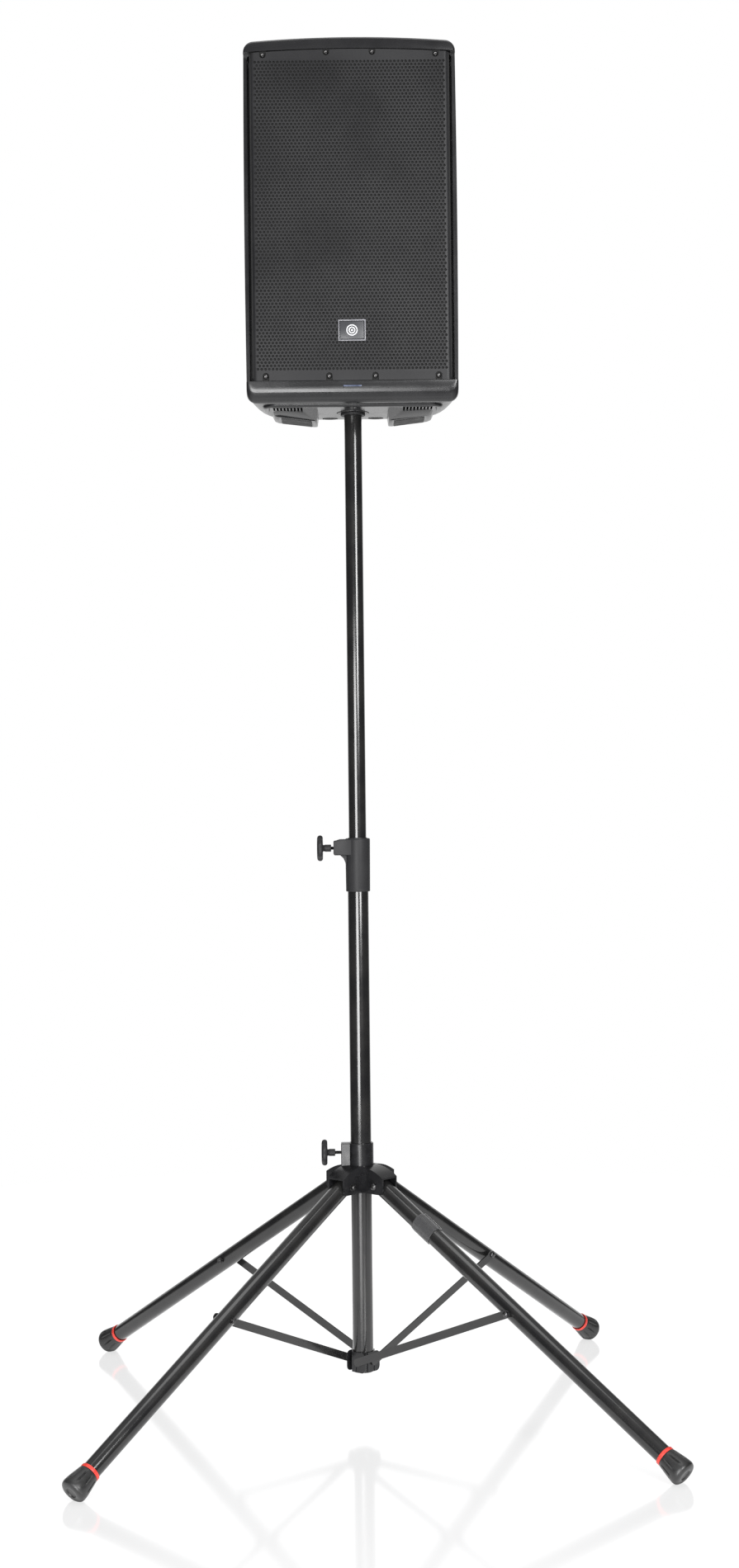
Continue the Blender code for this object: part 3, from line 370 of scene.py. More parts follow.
def soften(ob, width, segments=2, angle=32.0):
    """A round along every sharp edge."""
    m = ob.modifiers.new("soften", "BEVEL")
    m.limit_method, m.angle_limit = "ANGLE", math.radians(angle)
    m.width, m.segments, m.profile = width, segments, 0.6
    m.use_clamp_overlap, m.miter_outer, m.harden_normals = True, "MITER_ARC", False
    return ob


def bake(ob):
    """Applies the modifiers."""
    bpy.context.view_layer.update()
    me = bpy.data.meshes.new_from_object(ob.evaluated_get(bpy.context.evaluated_depsgraph_get()))
    ob.modifiers.clear()
    ob.data = me
    return ob


def boolean(target, others, how="DIFFERENCE"):
    for other in others:
        m = target.modifiers.new("b", "BOOLEAN")
        m.operation, m.solver, m.object = how, "EXACT", other
        mats = list(target.data.materials)
        bake(target)
        target.data.materials.clear()
        for mat in mats[:1]:
            target.data.materials.append(mat)
        target.data.polygons.foreach_set("material_index", [0] * len(target.data.polygons))
        bpy.data.objects.remove(other, do_unlink=True)
    return target


def clean(ob, angle=0.5, smooth=32.0):
    """Welds doubles and joins flat neighbours, so that edges read as edges."""
    bm = bmesh.new()
    bm.from_mesh(ob.data)
    bmesh.ops.remove_doubles(bm, verts=bm.verts, dist=0.00003)
    bmesh.ops.dissolve_limit(bm, angle_limit=math.radians(angle), verts=bm.verts, edges=bm.edges,
                             delimit={"NORMAL"})
    bmesh.ops.dissolve_degenerate(bm, edges=bm.edges, dist=0.00001)
    bmesh.ops.recalc_face_normals(bm, faces=bm.faces)
    bm.to_mesh(ob.data)
    bm.free()
    return shade(ob, smooth)


def axes(origin, x, y, z):
    m = Matrix.Identity(4)
    for i, v in enumerate((x, y, z, origin)):
        m.col[i][:3] = Vector(v)
    return m


XZ = axes((0, 0, 0), (1, 0, 0), (0, 0, 1), (0, 1, 0))


def along(origin, direction, side=None):
    z = Vector(direction).normalized()
    x = Vector(side) if side is not None else z.orthogonal()
    x = (x - z * x.dot(z)).normalized()
    return axes(origin, x, z.cross(x), z)


def arc(cx, cy, r, a0, a1, n):
    return [(cx + r * math.cos(math.radians(a0 + (a1 - a0) * i / n)),
             cy + r * math.sin(math.radians(a0 + (a1 - a0) * i / n))) for i in range(n + 1)]


def lathe(name, profile, mat, n=64, warp=None, smooth=35.0):
    """Closed profile of (radius, height) turned about Z; warp(angle, radius, height) gives the radius."""
    verts, rings = [], []
    for r, z in profile:
        if r < 1e-9:
            rings.append([len(verts)])
            verts.append((0, 0, z))
            continue
        rings.append(list(range(len(verts), len(verts) + n)))
        for i in range(n):
            a = 2 * math.pi * i / n
            k = warp(a, r, z) if warp else r
            verts.append((k * math.cos(a), k * math.sin(a), z))
    faces = []
    count = len(rings)
    open_ends = len(rings[0]) == 1 and len(rings[-1]) == 1
    for j in range(count - 1 if open_ends else count):
        a, b = rings[j], rings[(j + 1) % count]
        for i in range(n):
            k = (i + 1) % n
            if len(a) == 1 and len(b) == 1:
                continue
            if len(a) == 1:
                faces.append((a[0], b[i], b[k]))
            elif len(b) == 1:
                faces.append((a[i], a[k], b[0]))
            else:
                faces.append((a[i], a[k], b[k], b[i]))
    return new(name, verts, faces, mat, smooth)


def rod(r, z0, z1, mat=None, n=64):
    """A plain cylinder about Z, mostly used to cut with."""
    return lathe("t", [(0, z0), (r, z0), (r, z1), (0, z1)], mat, n)


def rounded(profile, radius, steps=3):
    """A closed profile with its corners rounded."""
    out = []
    n = len(profile)
    for i, p in enumerate(profile):
        p, a, b = Vector(p), Vector(profile[i - 1]), Vector(profile[(i + 1) % n])
        r = min(radius, (a - p).length * 0.45, (b - p).length * 0.45)
        if p.x < 1e-9 or r < 1e-6:
            out.append(tuple(p))
            continue
        start, end = p + (a - p).normalized() * r, p + (b - p).normalized() * r
        for k in range(steps + 1):
            t = k / steps
            q = start * (1 - t) ** 2 + p * (2 * t * (1 - t)) + end * t ** 2
            out.append(tuple(q))
    return out


def tube(name, r_out, r_in, z0, z1, mat, n=72, edge=0.0004):
    return lathe(name, rounded([(r_out, z0), (r_out, z1), (r_in, z1), (r_in, z0)], edge), mat, n)


def box(name, lo, hi, mat, bevel=0.0, seg=3):
    (a, b, c), (d, e, f) = lo, hi
    v = [(x, y, z) for x in (a, d) for y in (b, e) for z in (c, f)]
    sides = [(0, 1, 3, 2), (4, 6, 7, 5), (0, 4, 5, 1), (2, 3, 7, 6), (0, 2, 6, 4), (1, 5, 7, 3)]
    ob = new(name, v, sides, mat)
    if bevel:
        bm = bmesh.new()
        bm.from_mesh(ob.data)
        bmesh.ops.bevel(bm, geom=list(bm.edges) + list(bm.verts), offset=bevel, segments=seg, profile=0.5,
                        affect="EDGES")
        bm.to_mesh(ob.data)
        bm.free()
        shade(ob, 50)
    return ob


def prism(name, outline, depth0, depth1, place, mat):
    n = len(outline)
    verts = [place @ Vector((a, b, d)) for d in (depth0, depth1) for a, b in outline]
    faces = [tuple(range(n))[::-1], tuple(range(n, 2 * n))]
    faces += [(i, (i + 1) % n, n + (i + 1) % n, n + i) for i in range(n)]
    return new(name, verts, faces, mat)


def join(name, objects):
    """Several meshes as one piece; it takes the first one's place."""
    first = objects[0]
    bm = bmesh.new()
    slots = []
    back = first.matrix_world.inverted()
    for ob in objects:
        me = ob.data.copy()
        me.transform(back @ ob.matrix_world)
        start = len(bm.faces)
        bm.from_mesh(me)
        bm.faces.ensure_lookup_table()
        mats = [m for m in ob.data.materials]
        for m in mats:
            if m not in slots:
                slots.append(m)
        for face in list(bm.faces)[start:]:
            face.material_index = slots.index(mats[face.material_index]) if mats else 0
        bpy.data.meshes.remove(me)
    me = bpy.data.meshes.new(name)
    bm.to_mesh(me)
    bm.free()
    for m in slots:
        me.materials.append(m)
    matrix = first.matrix_world.copy()
    for ob in objects:
        bpy.data.objects.remove(ob, do_unlink=True)
    ob = bpy.data.objects.new(name, me)
    scene.collection.objects.link(ob)
    ob.matrix_world = matrix
    return ob


def place(ob, matrix):
    ob.matrix_world = matrix
    bpy.context.view_layer.update()
    return ob


def settle(ob):
    """Puts the piece's transform into its mesh."""
    ob.data.transform(ob.matrix_world)
    ob.matrix_world = Matrix.Identity(4)
    return ob


def stand_for(ob, body, slot, *nodes):
    """Puts a finished piece on its body in place of its CAD nodes."""
    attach(ob, body)
    if nodes:
        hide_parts(*nodes)
    return ob


def refine(node, body, slot, mat, width=0.0005, segments=2, angle=0.5, name=None):
    """A copy of a CAD node's mesh with smooth rounds, softened edges and a finish."""
    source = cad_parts[node]
    ob = bpy.data.objects.new(name or node + "_finish", source.data.copy())
    scene.collection.objects.link(ob)
    ob.data.materials.clear()
    ob.data.materials.append(mat)
    ob.data.polygons.foreach_set("material_index", [0] * len(ob.data.polygons))
    clean(ob, angle)
    if width:
        soften(ob, width, segments)
    return stand_for(ob, body, slot, node)


# ---------------------------------------------------------------- stand: poles, clutch, screws
def make_poles():
    slot = "satin_black_tube"
    z0, z1 = low("lower_tube").z, high("lower_tube").z
    pole = tube("lower_pole", LOWER_R, LOWER_R - 0.0016, z0, z1, TUBE, 96, 0.0006)
    stand_for(pole, "mast", slot, "lower_tube")
    z0, z1 = low("upper_tube").z, high("upper_tube").z
    pole = tube("upper_pole", UPPER_R, UPPER_R - TUBE_WALL, z0, z1, TUBE, 96)
    stand_for(pole, "upper_mast", slot, "upper_tube")
    refine("upper_tube_foot", "upper_mast", "grey_black_plastic", PLASTIC)
    refine("clutch_bush", "mast", "black_rubber", RUBBER, 0.0003)


def star_knob(name, node, body, centre_x, stem, z):
    """Lobed hand knob, head towards -X, domed face, waisted stem with moulded ribs."""
    t = 0.0053

    def lobes(a, r, h):
        if r > 0.0165:
            return r * (1 - 0.095 * (0.5 - 0.5 * math.cos(6 * a)) ** 1.4 * min(1, (r - 0.0165) / 0.005))
        if 0.0063 < r < 0.0068 and t + 0.0035 < h < t + stem - 0.0005:
            return r * (1 - 0.06 * (0.5 - 0.5 * math.cos(10 * a)))
        return r
    head = KNOB_R
    prof = [(0, -t + 0.0014), (0.0090, -t + 0.0013), (0.0105, -t), (head - 0.0060, -t)]
    prof += [(head - 0.0045 + 0.0045 * math.cos(a), 0.0002 + (t - 0.0002) * math.sin(a))
             for a in map(math.radians, range(-80, 81, 16))]
    prof += [(head - 0.0070, t), (0.0085, t), (0.0066, t + 0.0004), (0.0059, t + 0.0012),
             (0.0059, t + 0.0030), (0.0066, t + 0.0036)]
    prof += [(0.0066, t + stem * k / 5) for k in (2, 3, 4)]
    prof += [(0.0066, t + stem - 0.0009), (0.0062, t + stem - 0.0002), (0.0056, t + stem),
             (0.0034, t + stem), (0.0034, 0.001), (0, 0.001)]
    ob = lathe(name, prof, PLASTIC, 144, lobes, 40)
    stand_for(place(ob, along((centre_x, 0, z), (1, 0, 0), (0, 0, 1))), body, "grey_black_plastic", node)


def threaded_rod(name, node, body, x0, length, z):
    pitch, r = 0.00125, 0.0031
    turns = int((length - 0.004) / pitch)
    prof = [(0, 0), (r - 0.0006, 0), (r - 0.0002, 0.0006)]
    for i in range(turns):
        prof += [(r, 0.002 + pitch * (i + 0.25)), (r - 0.00055, 0.002 + pitch * (i + 0.75))]
    prof += [(r - 0.0004, length - 0.0006), (r - 0.0009, length), (0, length)]
    ob = place(lathe(name, prof, BLACK_STEEL, 32, None, 60), along((x0, 0, z), (1, 0, 0)))
    stand_for(ob, body, "zinc_steel", node)


def make_clutch():
    """Moulded clutch: tapered sleeve with lipped ends, and a deep screw boss with a web below it."""
    z0, z1 = low("clutch_collar").z, high("clutch_collar").z
    top = high("lower_tube").z + 0.001
    prof = [(0.0216, z0), (0.0221, z0 + 0.0012), (0.0223, z0 + 0.0030), (0.0220, z0 + 0.0036),
            (0.0221, z0 + 0.0044), (0.0226, z1 - 0.034), (0.0228, z1 - 0.0035), (0.0226, z1 - 0.0014),
            (0.0219, z1 - 0.0003), (0.0212, z1), (0.0180, z1), (0.0180, top), (LOWER_R + GAP, top),
            (LOWER_R + GAP, z0)]
    body = lathe("clutch_body", prof, PLASTIC, 96)
    side = [(-0.0445, 1.0250), (-0.0443, 1.0484), (-0.0400, 1.0490), (-0.0330, 1.0512), (-0.0100, 1.0514),
            (-0.0100, 1.0222), (-0.0425, 1.0222)]
    web = [(-0.0200, 1.0300), (-0.0200, 1.0030), (-0.0222, 1.0030), (-0.0228, 1.0085), (-0.0262, 1.0165),
           (-0.0318, 1.0215), (-0.0318, 1.0300)]
    boss = soften(prism("t", side, -0.0192, 0.0192, XZ, None), 0.0028, 4, 20)
    web = soften(prism("t", web, -0.0115, 0.0115, XZ, None), 0.0015, 3, 20)
    boolean(body, [bake(boss), bake(web)], "UNION")
    boolean(body, [lathe("t", [(0, z0 - 0.01), (LOWER_R + GAP, z0 - 0.01), (LOWER_R + GAP, top),
                               (0.0180, top), (0.0180, z1 + 0.01), (0, z1 + 0.01)], None, 96)])
    face = along((side[0][0], 0, SCREW_Z), (1, 0, 0))
    seat, bore = rod(0.0078, -0.001, 0.0006, n=40), rod(0.0036, -0.001, 0.0235, n=32)
    boolean(body, [place(seat, face), place(bore, face)])
    shade(clean(body, 0.3), 40)
    soften(body, 0.0005, 2, 40)
    stand_for(body, "mast", "grey_black_plastic", "clutch_collar")
    star_knob("clutch_hand_knob", "clutch_knob", "clutch_screw_knob", -0.0693, 0.0152, SCREW_Z)
    threaded_rod("clutch_thread", "clutch_screw", "clutch_screw_knob", -0.0680, 0.0485, SCREW_Z)


def make_hub():
    refine("hub", "hub_body", "black_casting", CAST, 0.0015, 4)
    star_knob("hub_hand_knob", "hub_knob", "hub_screw_knob", -0.0671, 0.0144, HUB_SCREW_Z)
    threaded_rod("hub_thread", "hub_screw", "hub_screw_knob", -0.0658, 0.0460, HUB_SCREW_Z)


# ---------------------------------------------------------------- stand: legs
FOOT = [(0.0164, 0.0), (0.0174, 0.0), (0.0178, 0.0006), (0.0182, 0.0020), (0.0187, 0.0045),
        (0.0193, 0.0080), (0.0200, 0.0120), (0.0208, 0.0165), (0.0216, 0.0210), (0.0223, 0.0255),
        (0.0228, 0.0295), (0.0231, 0.0330), (0.0232, 0.0352), (0.0230, 0.0374), (0.0224, 0.0395),
        (0.0216, 0.0408), (0.0206, 0.0418), (0.0193, 0.0426), (0.0178, 0.0432), (0.0160, 0.0436),
        (0.0140, 0.0438), (0.0108, 0.0438), (0.0100, 0.0434), (0.0095, 0.0426), (0.0088, 0.0420),
        (0.0040, 0.0419), (0, 0.0419), (0, 0.0340), (0.0164, 0.0340)]
FLUTES = 10


def flute(a, r, s):
    """Long narrow grooves between the foot's collar and its rounded end."""
    s -= LEG_LENGTH
    along_it = max(0.0, min(1.0, (s - 0.004) / 0.004, (0.0310 - s) / 0.006))
    if r < 0.0175 or along_it <= 0:
        return r
    across = abs((a * FLUTES / (2 * math.pi)) % 1 - 0.5) * 2
    return r - 0.0016 * along_it * max(0.0, 1 - across / 0.26) ** 0.6


def direction(name):
    a = math.radians(LEGS[name]) + STAND_TURN
    return Vector((math.cos(a), math.sin(a), 0))


def hexagon(r):
    return [(r * math.cos(a), r * math.sin(a)) for a in (math.radians(60 * i) for i in range(6))]


def nut(name, across, thick, mat):
    """Hexagon nut with chamfered corners, about Z from 0 to thick."""
    ob = prism(name, hexagon(across / math.sqrt(3)), 0, thick, Matrix.Identity(4), mat)
    wide, narrow = across * 0.62, across * 0.50
    cap = lathe("t", [(0, -0.001), (narrow, -0.001), (wide, 0.0006), (wide, thick - 0.0006),
                      (narrow, thick + 0.001), (0, thick + 0.001)], None, 48)
    boolean(ob, [cap], "INTERSECT")
    shade(ob, 30)
    return ob


def bolt_with_nut(name, mat, head_at, head_r, head_h, nut_at, across, nut_h, shank_r, end_at, matrix):
    """Domed head below, shank, washer and hexagon nut above, with a little thread showing."""
    dome = ((0, 1), (0.45, 0.97), (0.75, 0.78), (0.93, 0.48), (1, 0.15), (1, 0))
    pitch, top = 0.0008, nut_at + nut_h
    turns = int((end_at - top) / pitch)
    prof = [(head_r * a, head_at - head_h * b) for a, b in dome] + [(shank_r, head_at), (shank_r, top)]
    prof += [(shank_r - (0.0003 if k % 2 else 0), top + pitch * 0.5 * k) for k in range(2 * turns)]
    prof += [(shank_r * 0.8, end_at), (0, end_at)]
    washer = [(shank_r, nut_at - 0.0008), (across * 0.62, nut_at - 0.0008), (across * 0.62, nut_at),
              (shank_r, nut_at)]
    parts = [lathe("t", prof, mat, 40, None, 40), lathe("t", rounded(washer, 0.0002, 2), mat, 40),
             place(nut("t", across, nut_h, mat), Matrix.Translation((0, 0, nut_at)))]
    return place(join(name, parts), matrix)


def make_leg(leg):
    u = direction(leg)
    side = Vector((0, 0, 1)).cross(u)
    down = u * math.sin(LEG_ANGLE) - Vector((0, 0, math.cos(LEG_ANGLE)))
    pivot = u * PIVOT_R + Vector((0, 0, PIVOT_Z))
    here = along(pivot, down, side)
    bolt_at = pivot + down * BRACE_AT
    body = "leg_" + leg

    z0, z1 = -0.012, LEG_LENGTH + 0.0325
    pipe = tube("leg_pipe_" + leg, LEG_R, LEG_R - TUBE_WALL, z0, z1, LEG_PAINT, 72, 0.0005)
    stand_for(settle(place(pipe, here)), body, "satin_black_tube", "leg_tube_" + leg)
    r, end = 0.0179, LEG_LENGTH - 0.0063
    ring = rounded([(r, end), (r, LEG_LENGTH - GAP), (0.0163, LEG_LENGTH - GAP), (0.0163, end)], 0.0007)
    ring = lathe("ring_" + leg, ring, RED, 72)
    stand_for(place(ring, here), body, "red_ring", "foot_ring_" + leg)

    foot = [(r, LEG_LENGTH + s) for r, s in FOOT]
    foot = lathe("rubber_foot_" + leg, foot, RUBBER, FLUTES * 14, flute, 30)
    settle(place(foot, here))
    for v in foot.data.vertices:                # the foot stands flat on the floor
        v.co.z = max(0.0, v.co.z)
    stand_for(foot, body, "black_rubber", "foot_" + leg)

    ob = bolt_with_nut("hinge_bolt_" + leg, BLACK_STEEL, -ARM_HALF - GAP, 0.0066, 0.0045,
                       ARM_HALF + GAP + 0.0008, 0.0105, 0.0040, 0.0039, 0.0272, along(pivot, side))
    stand_for(ob, "hub_body", "black_steel", "leg_bolt_" + leg)
    out = BRACE_SIDE + BRACE_THICK + GAP
    ob = bolt_with_nut("t", BLACK_STEEL, -out, 0.0058, 0.0040, LEG_R + 0.0018, 0.0095, 0.0042, 0.0031,
                       LEG_R + 0.0074, along(bolt_at, side))
    z0, z1 = 2 * BRACE_THICK - out + 2 * GAP, -LEG_R - 0.0006
    spacer = tube("t", 0.0056, 0.0032, z0, z1, BLACK_STEEL, 40)
    ob = join("brace_pin_" + leg, [ob, place(spacer, along(bolt_at, side))])
    stand_for(ob, body, "zinc_steel", "brace_bolt_" + leg)
    refine("brace_" + leg, "strut_" + leg, "satin_black_tube", TUBE, 0.0005, 2)


def make_strap():
    """Hook-and-loop strap round the front right leg: a turn and a third, whose free end laps over."""
    u = direction("front_right")
    down = u * math.sin(LEG_ANGLE) - Vector((0, 0, math.cos(LEG_ANGLE)))
    pivot = u * PIVOT_R + Vector((0, 0, PIVOT_Z))
    here = along(pivot, down, Vector((0, 0, 1)).cross(u))
    z0, z1, thick = 0.1055, 0.1495, 0.0011
    steps, rows, start, sweep, lap = 160, 13, -40, 470, 0.70
    verts, faces = [], []
    for i in range(steps + 1):
        t = i / steps
        a = math.radians(start + sweep * t)
        lift = LEG_R + 0.0003 + 0.0012 * max(0.0, min(1.0, (t - lap) / 0.10)) + 0.0003 * math.sin(9 * a)
        drift = 0.0009 * math.sin(2.3 * a) + 0.0022 * max(0.0, t - lap)
        for r in (lift, lift + thick):
            for k in range(rows):
                w = k / (rows - 1)
                r_here = r + (0.00035 * (1 - abs(2 * w - 1) ** 6) if r > lift else 0.0)
                verts.append((r_here * math.cos(a), r_here * math.sin(a), z0 + (z1 - z0) * w + drift))
    row = 2 * rows
    for i in range(steps):
        for k in range(rows - 1):
            a, b = i * row + k, (i + 1) * row + k
            faces += [(a, a + 1, b + 1, b), (a + rows, b + rows, b + rows + 1, a + rows + 1)]
        for k in (0, rows - 1):
            a, b = i * row + k, (i + 1) * row + k
            faces.append((a, b, b + rows, a + rows))
    for i in (0, steps):
        ends = (i * row + k for k in range(rows - 1))
        faces += [(a, a + 1, a + rows + 1, a + rows) for a in ends]
    strap = place(new("strap", verts, faces, WEB, 50), here)
    stand_for(strap, "leg_front_right", "black_webbing", "leg_strap")


# ---------------------------------------------------------------- cabinet shells
def ring_points(hw, zb, zt, r, bow_top, bow_side, n=9, m=14):
    """Closed outline in (x, z): a rounded rectangle whose top and sides bow outwards."""
    pts = []
    corners = [(hw - r, zt - r, 0), (-hw + r, zt - r, 90), (-hw + r, zb + r, 180), (hw - r, zb + r, 270)]
    for j, (cx, cz, a) in enumerate(corners):
        pts += arc(cx, cz, r, a, a + 90, n)
        nx, nz, na = corners[(j + 1) % 4]
        end, start = pts[-1], arc(nx, nz, r, na, na + 90, n)[0]
        pts += [(end[0] + (start[0] - end[0]) * i / (m + 1), end[1] + (start[1] - end[1]) * i / (m + 1))
                for i in range(1, m + 1)]
    mid = (zb + zt) / 2
    out = []
    for x, z in pts:
        k, v = min(1, abs(x) / hw), min(1, abs(z - mid) / (zt - mid))
        dz = bow_top * (1 - k * k) if z > mid else 0.0
        out.append((x + math.copysign(bow_side * (1 - v * v), x) * k, z + dz * v))
    return out


def loft(name, sections, mat):
    verts, faces = [], []
    n = len(sections[0][1])
    for y, pts in sections:
        verts += [(x, y, z) for x, z in pts]
    for j in range(len(sections) - 1):
        for i in range(n):
            k = (i + 1) % n
            faces.append((j * n + i, j * n + k, (j + 1) * n + k, (j + 1) * n + i))
    faces += [tuple(range(n)), tuple(range((len(sections) - 1) * n, len(sections) * n))]
    return new(name, verts, faces, mat)


def section(y, hw, zb, zt, r, inset=0.0):
    k = min(1.0, max(0.0, (0.13 - y) / 0.1))
    bow = TOP_BOW * (0.4 + 0.6 * k)
    return (y, ring_points(hw - inset, zb + inset, zt - inset, max(0.003, r - inset), bow, SIDE_BOW))


def through(rows, steps):
    """Smooth rows between the given ones, passing through each (a Catmull-Rom curve)."""
    def curve(a, b, c, d, t):
        square, cube = 2 * a - 5 * b + 4 * c - d, 3 * b - a - 3 * c + d
        return 0.5 * (2 * b + (c - a) * t + square * t * t + cube * t ** 3)
    out = []
    last = len(rows) - 1
    for i in range(last):
        near = rows[max(0, i - 1)], rows[i], rows[i + 1], rows[min(last, i + 2)]
        out += [tuple(curve(*four, k / steps) for four in zip(*near)) for k in range(steps)]
    return out + [rows[-1]]


REAR = [  # y, then the way in from the half width, up from the base, down from the top, and the corner radius
    (JOINT_Y, 0.0, 0.0, 0.0, 0.024), (-0.030, 0.001, 0.0, 0.001, 0.030), (0.040, 0.007, 0.0, 0.005, 0.036),
    (0.075, 0.015, 0.003, 0.011, 0.042), (0.110, 0.026, 0.022, 0.022, 0.046),
    (0.145, 0.040, 0.048, 0.040, 0.046), (0.165, 0.050, 0.062, 0.052, 0.044),
    (REAR_Y, 0.060, 0.072, 0.062, 0.038)]


def between(s, a, b):
    """The two x values of a span that starts at a and ends at b on side s, in rising order."""
    return sorted((s * a, s * b))


def comb(s):
    """Row of narrow slots that opens into a shallow recess along its front."""
    out = []
    for i in range(9):
        a = 0.0915 + 0.0062 * i
        x0, x1 = between(s, a, a + 0.0034)
        out.append(box("t", (x0, -0.0640, BASE_Z - 0.0140), (x1, -0.0330, BASE_Z + 0.0090), None))
    x0, x1 = between(s, 0.0910, 0.1450)
    out.append(box("t", (x0, -0.0680, BASE_Z - 0.0140), (x1, -0.0600, BASE_Z + 0.0040), None))
    return out


def make_rear_shell():
    rows = [(y, HALF_W - a, max(BASE_Z, BASE_Z + b), TOP_Z - c, r) for y, a, b, c, r in through(REAR, 4)]
    skin = loft("rear_case", [section(*r) for r in rows], SHELL)
    pockets = [((-0.062, -0.052, 2.430), (0.062, 0.008, 2.520), 0.012)]
    for s in (-1, 1):
        x0, x1 = between(s, 0.158, 0.230)
        pockets.append(((x0, -0.040, 2.090), (x1, 0.032, 2.235), 0.010))
    blocks = []
    for s in (-1, 1):
        outline = [(0.150, BASE_Z + 0.004), (0.1455, BASE_Z - 0.0055), (0.138, BASE_Z - 0.0085),
                   (0.072, BASE_Z - 0.0165), (0.066, BASE_Z - 0.0162), (0.063, BASE_Z + 0.004)]
        block = prism("t", [(s * a, b) for a, b in outline], 0.000, 0.072, XZ, None)
        for v in block.data.vertices:                  # its front runs out in a ramp
            if v.co.y < 0.001:
                v.co.y = -0.002 if v.co.z < BASE_Z else -0.060
        blocks.append(bake(soften(block, 0.0018, 3, 25)))
    boolean(skin, blocks, "UNION")
    cuts = [box("t", lo, hi, None, r, 4) for lo, hi, r in pockets]
    cuts.append(place(rod(0.0212, BASE_Z - 0.02, BASE_Z + 0.09), Matrix.Rotation(0.02, 4, "Z")))
    pad_z, margin = BASE_Z - 0.0125, 0.001
    for s in (-1, 1):
        cuts += comb(s)
        lo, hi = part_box("foot_pad_left" if s < 0 else "foot_pad_right")
        low, high = (lo.x - margin, lo.y - margin, pad_z), (hi.x + margin, hi.y + margin, BASE_Z - 0.03)
        pad = box("t", low, high, None)
        tilt = Matrix.Rotation(-math.atan2(0.0080, 0.066) * s, 4, "Y")
        centre = Matrix.Translation(((lo.x + hi.x) / 2, 0, pad_z))
        cuts.append(place(pad, centre @ tilt @ centre.inverted()))
    boolean(skin, cuts)
    shade(clean(skin, 0.05), 34)
    soften(skin, 0.0012, 2, 40)
    stand_for(skin, "cabinet", "textured_black_shell", "rear_shell")


def front_section(y):
    """Section near the front: the lower edge rolls back and the other edges have a small lip."""
    deep, roll, lip = 0.020, 0.027, 0.008
    grow = math.sqrt(max(0.0, 1 - (1 - min(1.0, (y - FRONT_Y) / lip)) ** 2))
    a = math.acos(max(0.0, 1 - (y - FRONT_Y) / deep))
    bottom = BASE_Z - 0.005 + roll * (1 - math.sin(a))
    return (y, HALF_W - 0.005 * (1 - grow), bottom, TOP_Z - 0.005 * (1 - grow), 0.013 + 0.004 * grow)


def make_front_shell():
    depths = [0.020 * (1 - math.cos(math.pi / 2 * i / 8)) for i in range(9)]
    depths += [0.0004, 0.0016, 0.0035, 0.0060]
    rows = [front_section(FRONT_Y + d) for d in sorted(depths)]
    rows += [(y, HALF_W, BASE_Z - below, TOP_Z, r) for y, below, r in
             ((-0.124, 0.0044, 0.018), (-0.120, 0.0020, 0.020), (-0.117, 0.0003, 0.022), (-0.098, 0.0, 0.024),
              (JOINT_Y - 0.0012, 0.0, 0.024))]
    rows.append((JOINT_Y - GAP, HALF_W - 0.0010, BASE_Z + 0.001, TOP_Z - 0.001, 0.0235))
    front = loft("front_case", [section(*r) for r in rows], SHELL)
    g0, g1 = GRILLE_Z
    hole = ring_points(HALF_W - 0.006, g0 - GAP, g1 + GAP, 0.006, EDGE_BOW, 0.0)
    sides = ring_points(HALF_W + 0.010, g0 - GAP, g1 + GAP, 0.0005, EDGE_BOW, 0.0)
    y0, y1 = BAFFLE_Y
    inside = [section(y, HALF_W, BASE_Z, TOP_Z, r, WALL) for y, r in ((y1, 0.022), (-0.090, 0.024))]
    horn_x, horn_z = HORN_W / 2 - 0.014, HORN_H / 2 - 0.014
    cuts = [loft("t", inside, None),
            loft("t", [(FRONT_Y - 0.02, hole), (y0, hole)], None),
            loft("t", [(FRONT_Y - 0.02, sides), (-0.131, sides)], None),
            place(rod(WOOFER_R - 0.016, -0.03, 0.03, n=96), along((0, y0, WOOFER_Z), (0, 1, 0))),
            box("t", (-horn_x, -0.14, HORN_Z - horn_z), (horn_x, -0.09, HORN_Z + horn_z), None),
            box("t", (-0.0165, -0.16, 1.8585), (0.0165, -0.1475, 1.8617), None)]
    boolean(front, cuts)
    shade(clean(front, 0.05), 34)
    soften(front, 0.0007, 2, 45)
    stand_for(front, "cabinet", "textured_black_shell", "front_shell")
    refine("led_window", "cabinet", "led_lens", LENS_BLUE, 0.0004, 3)


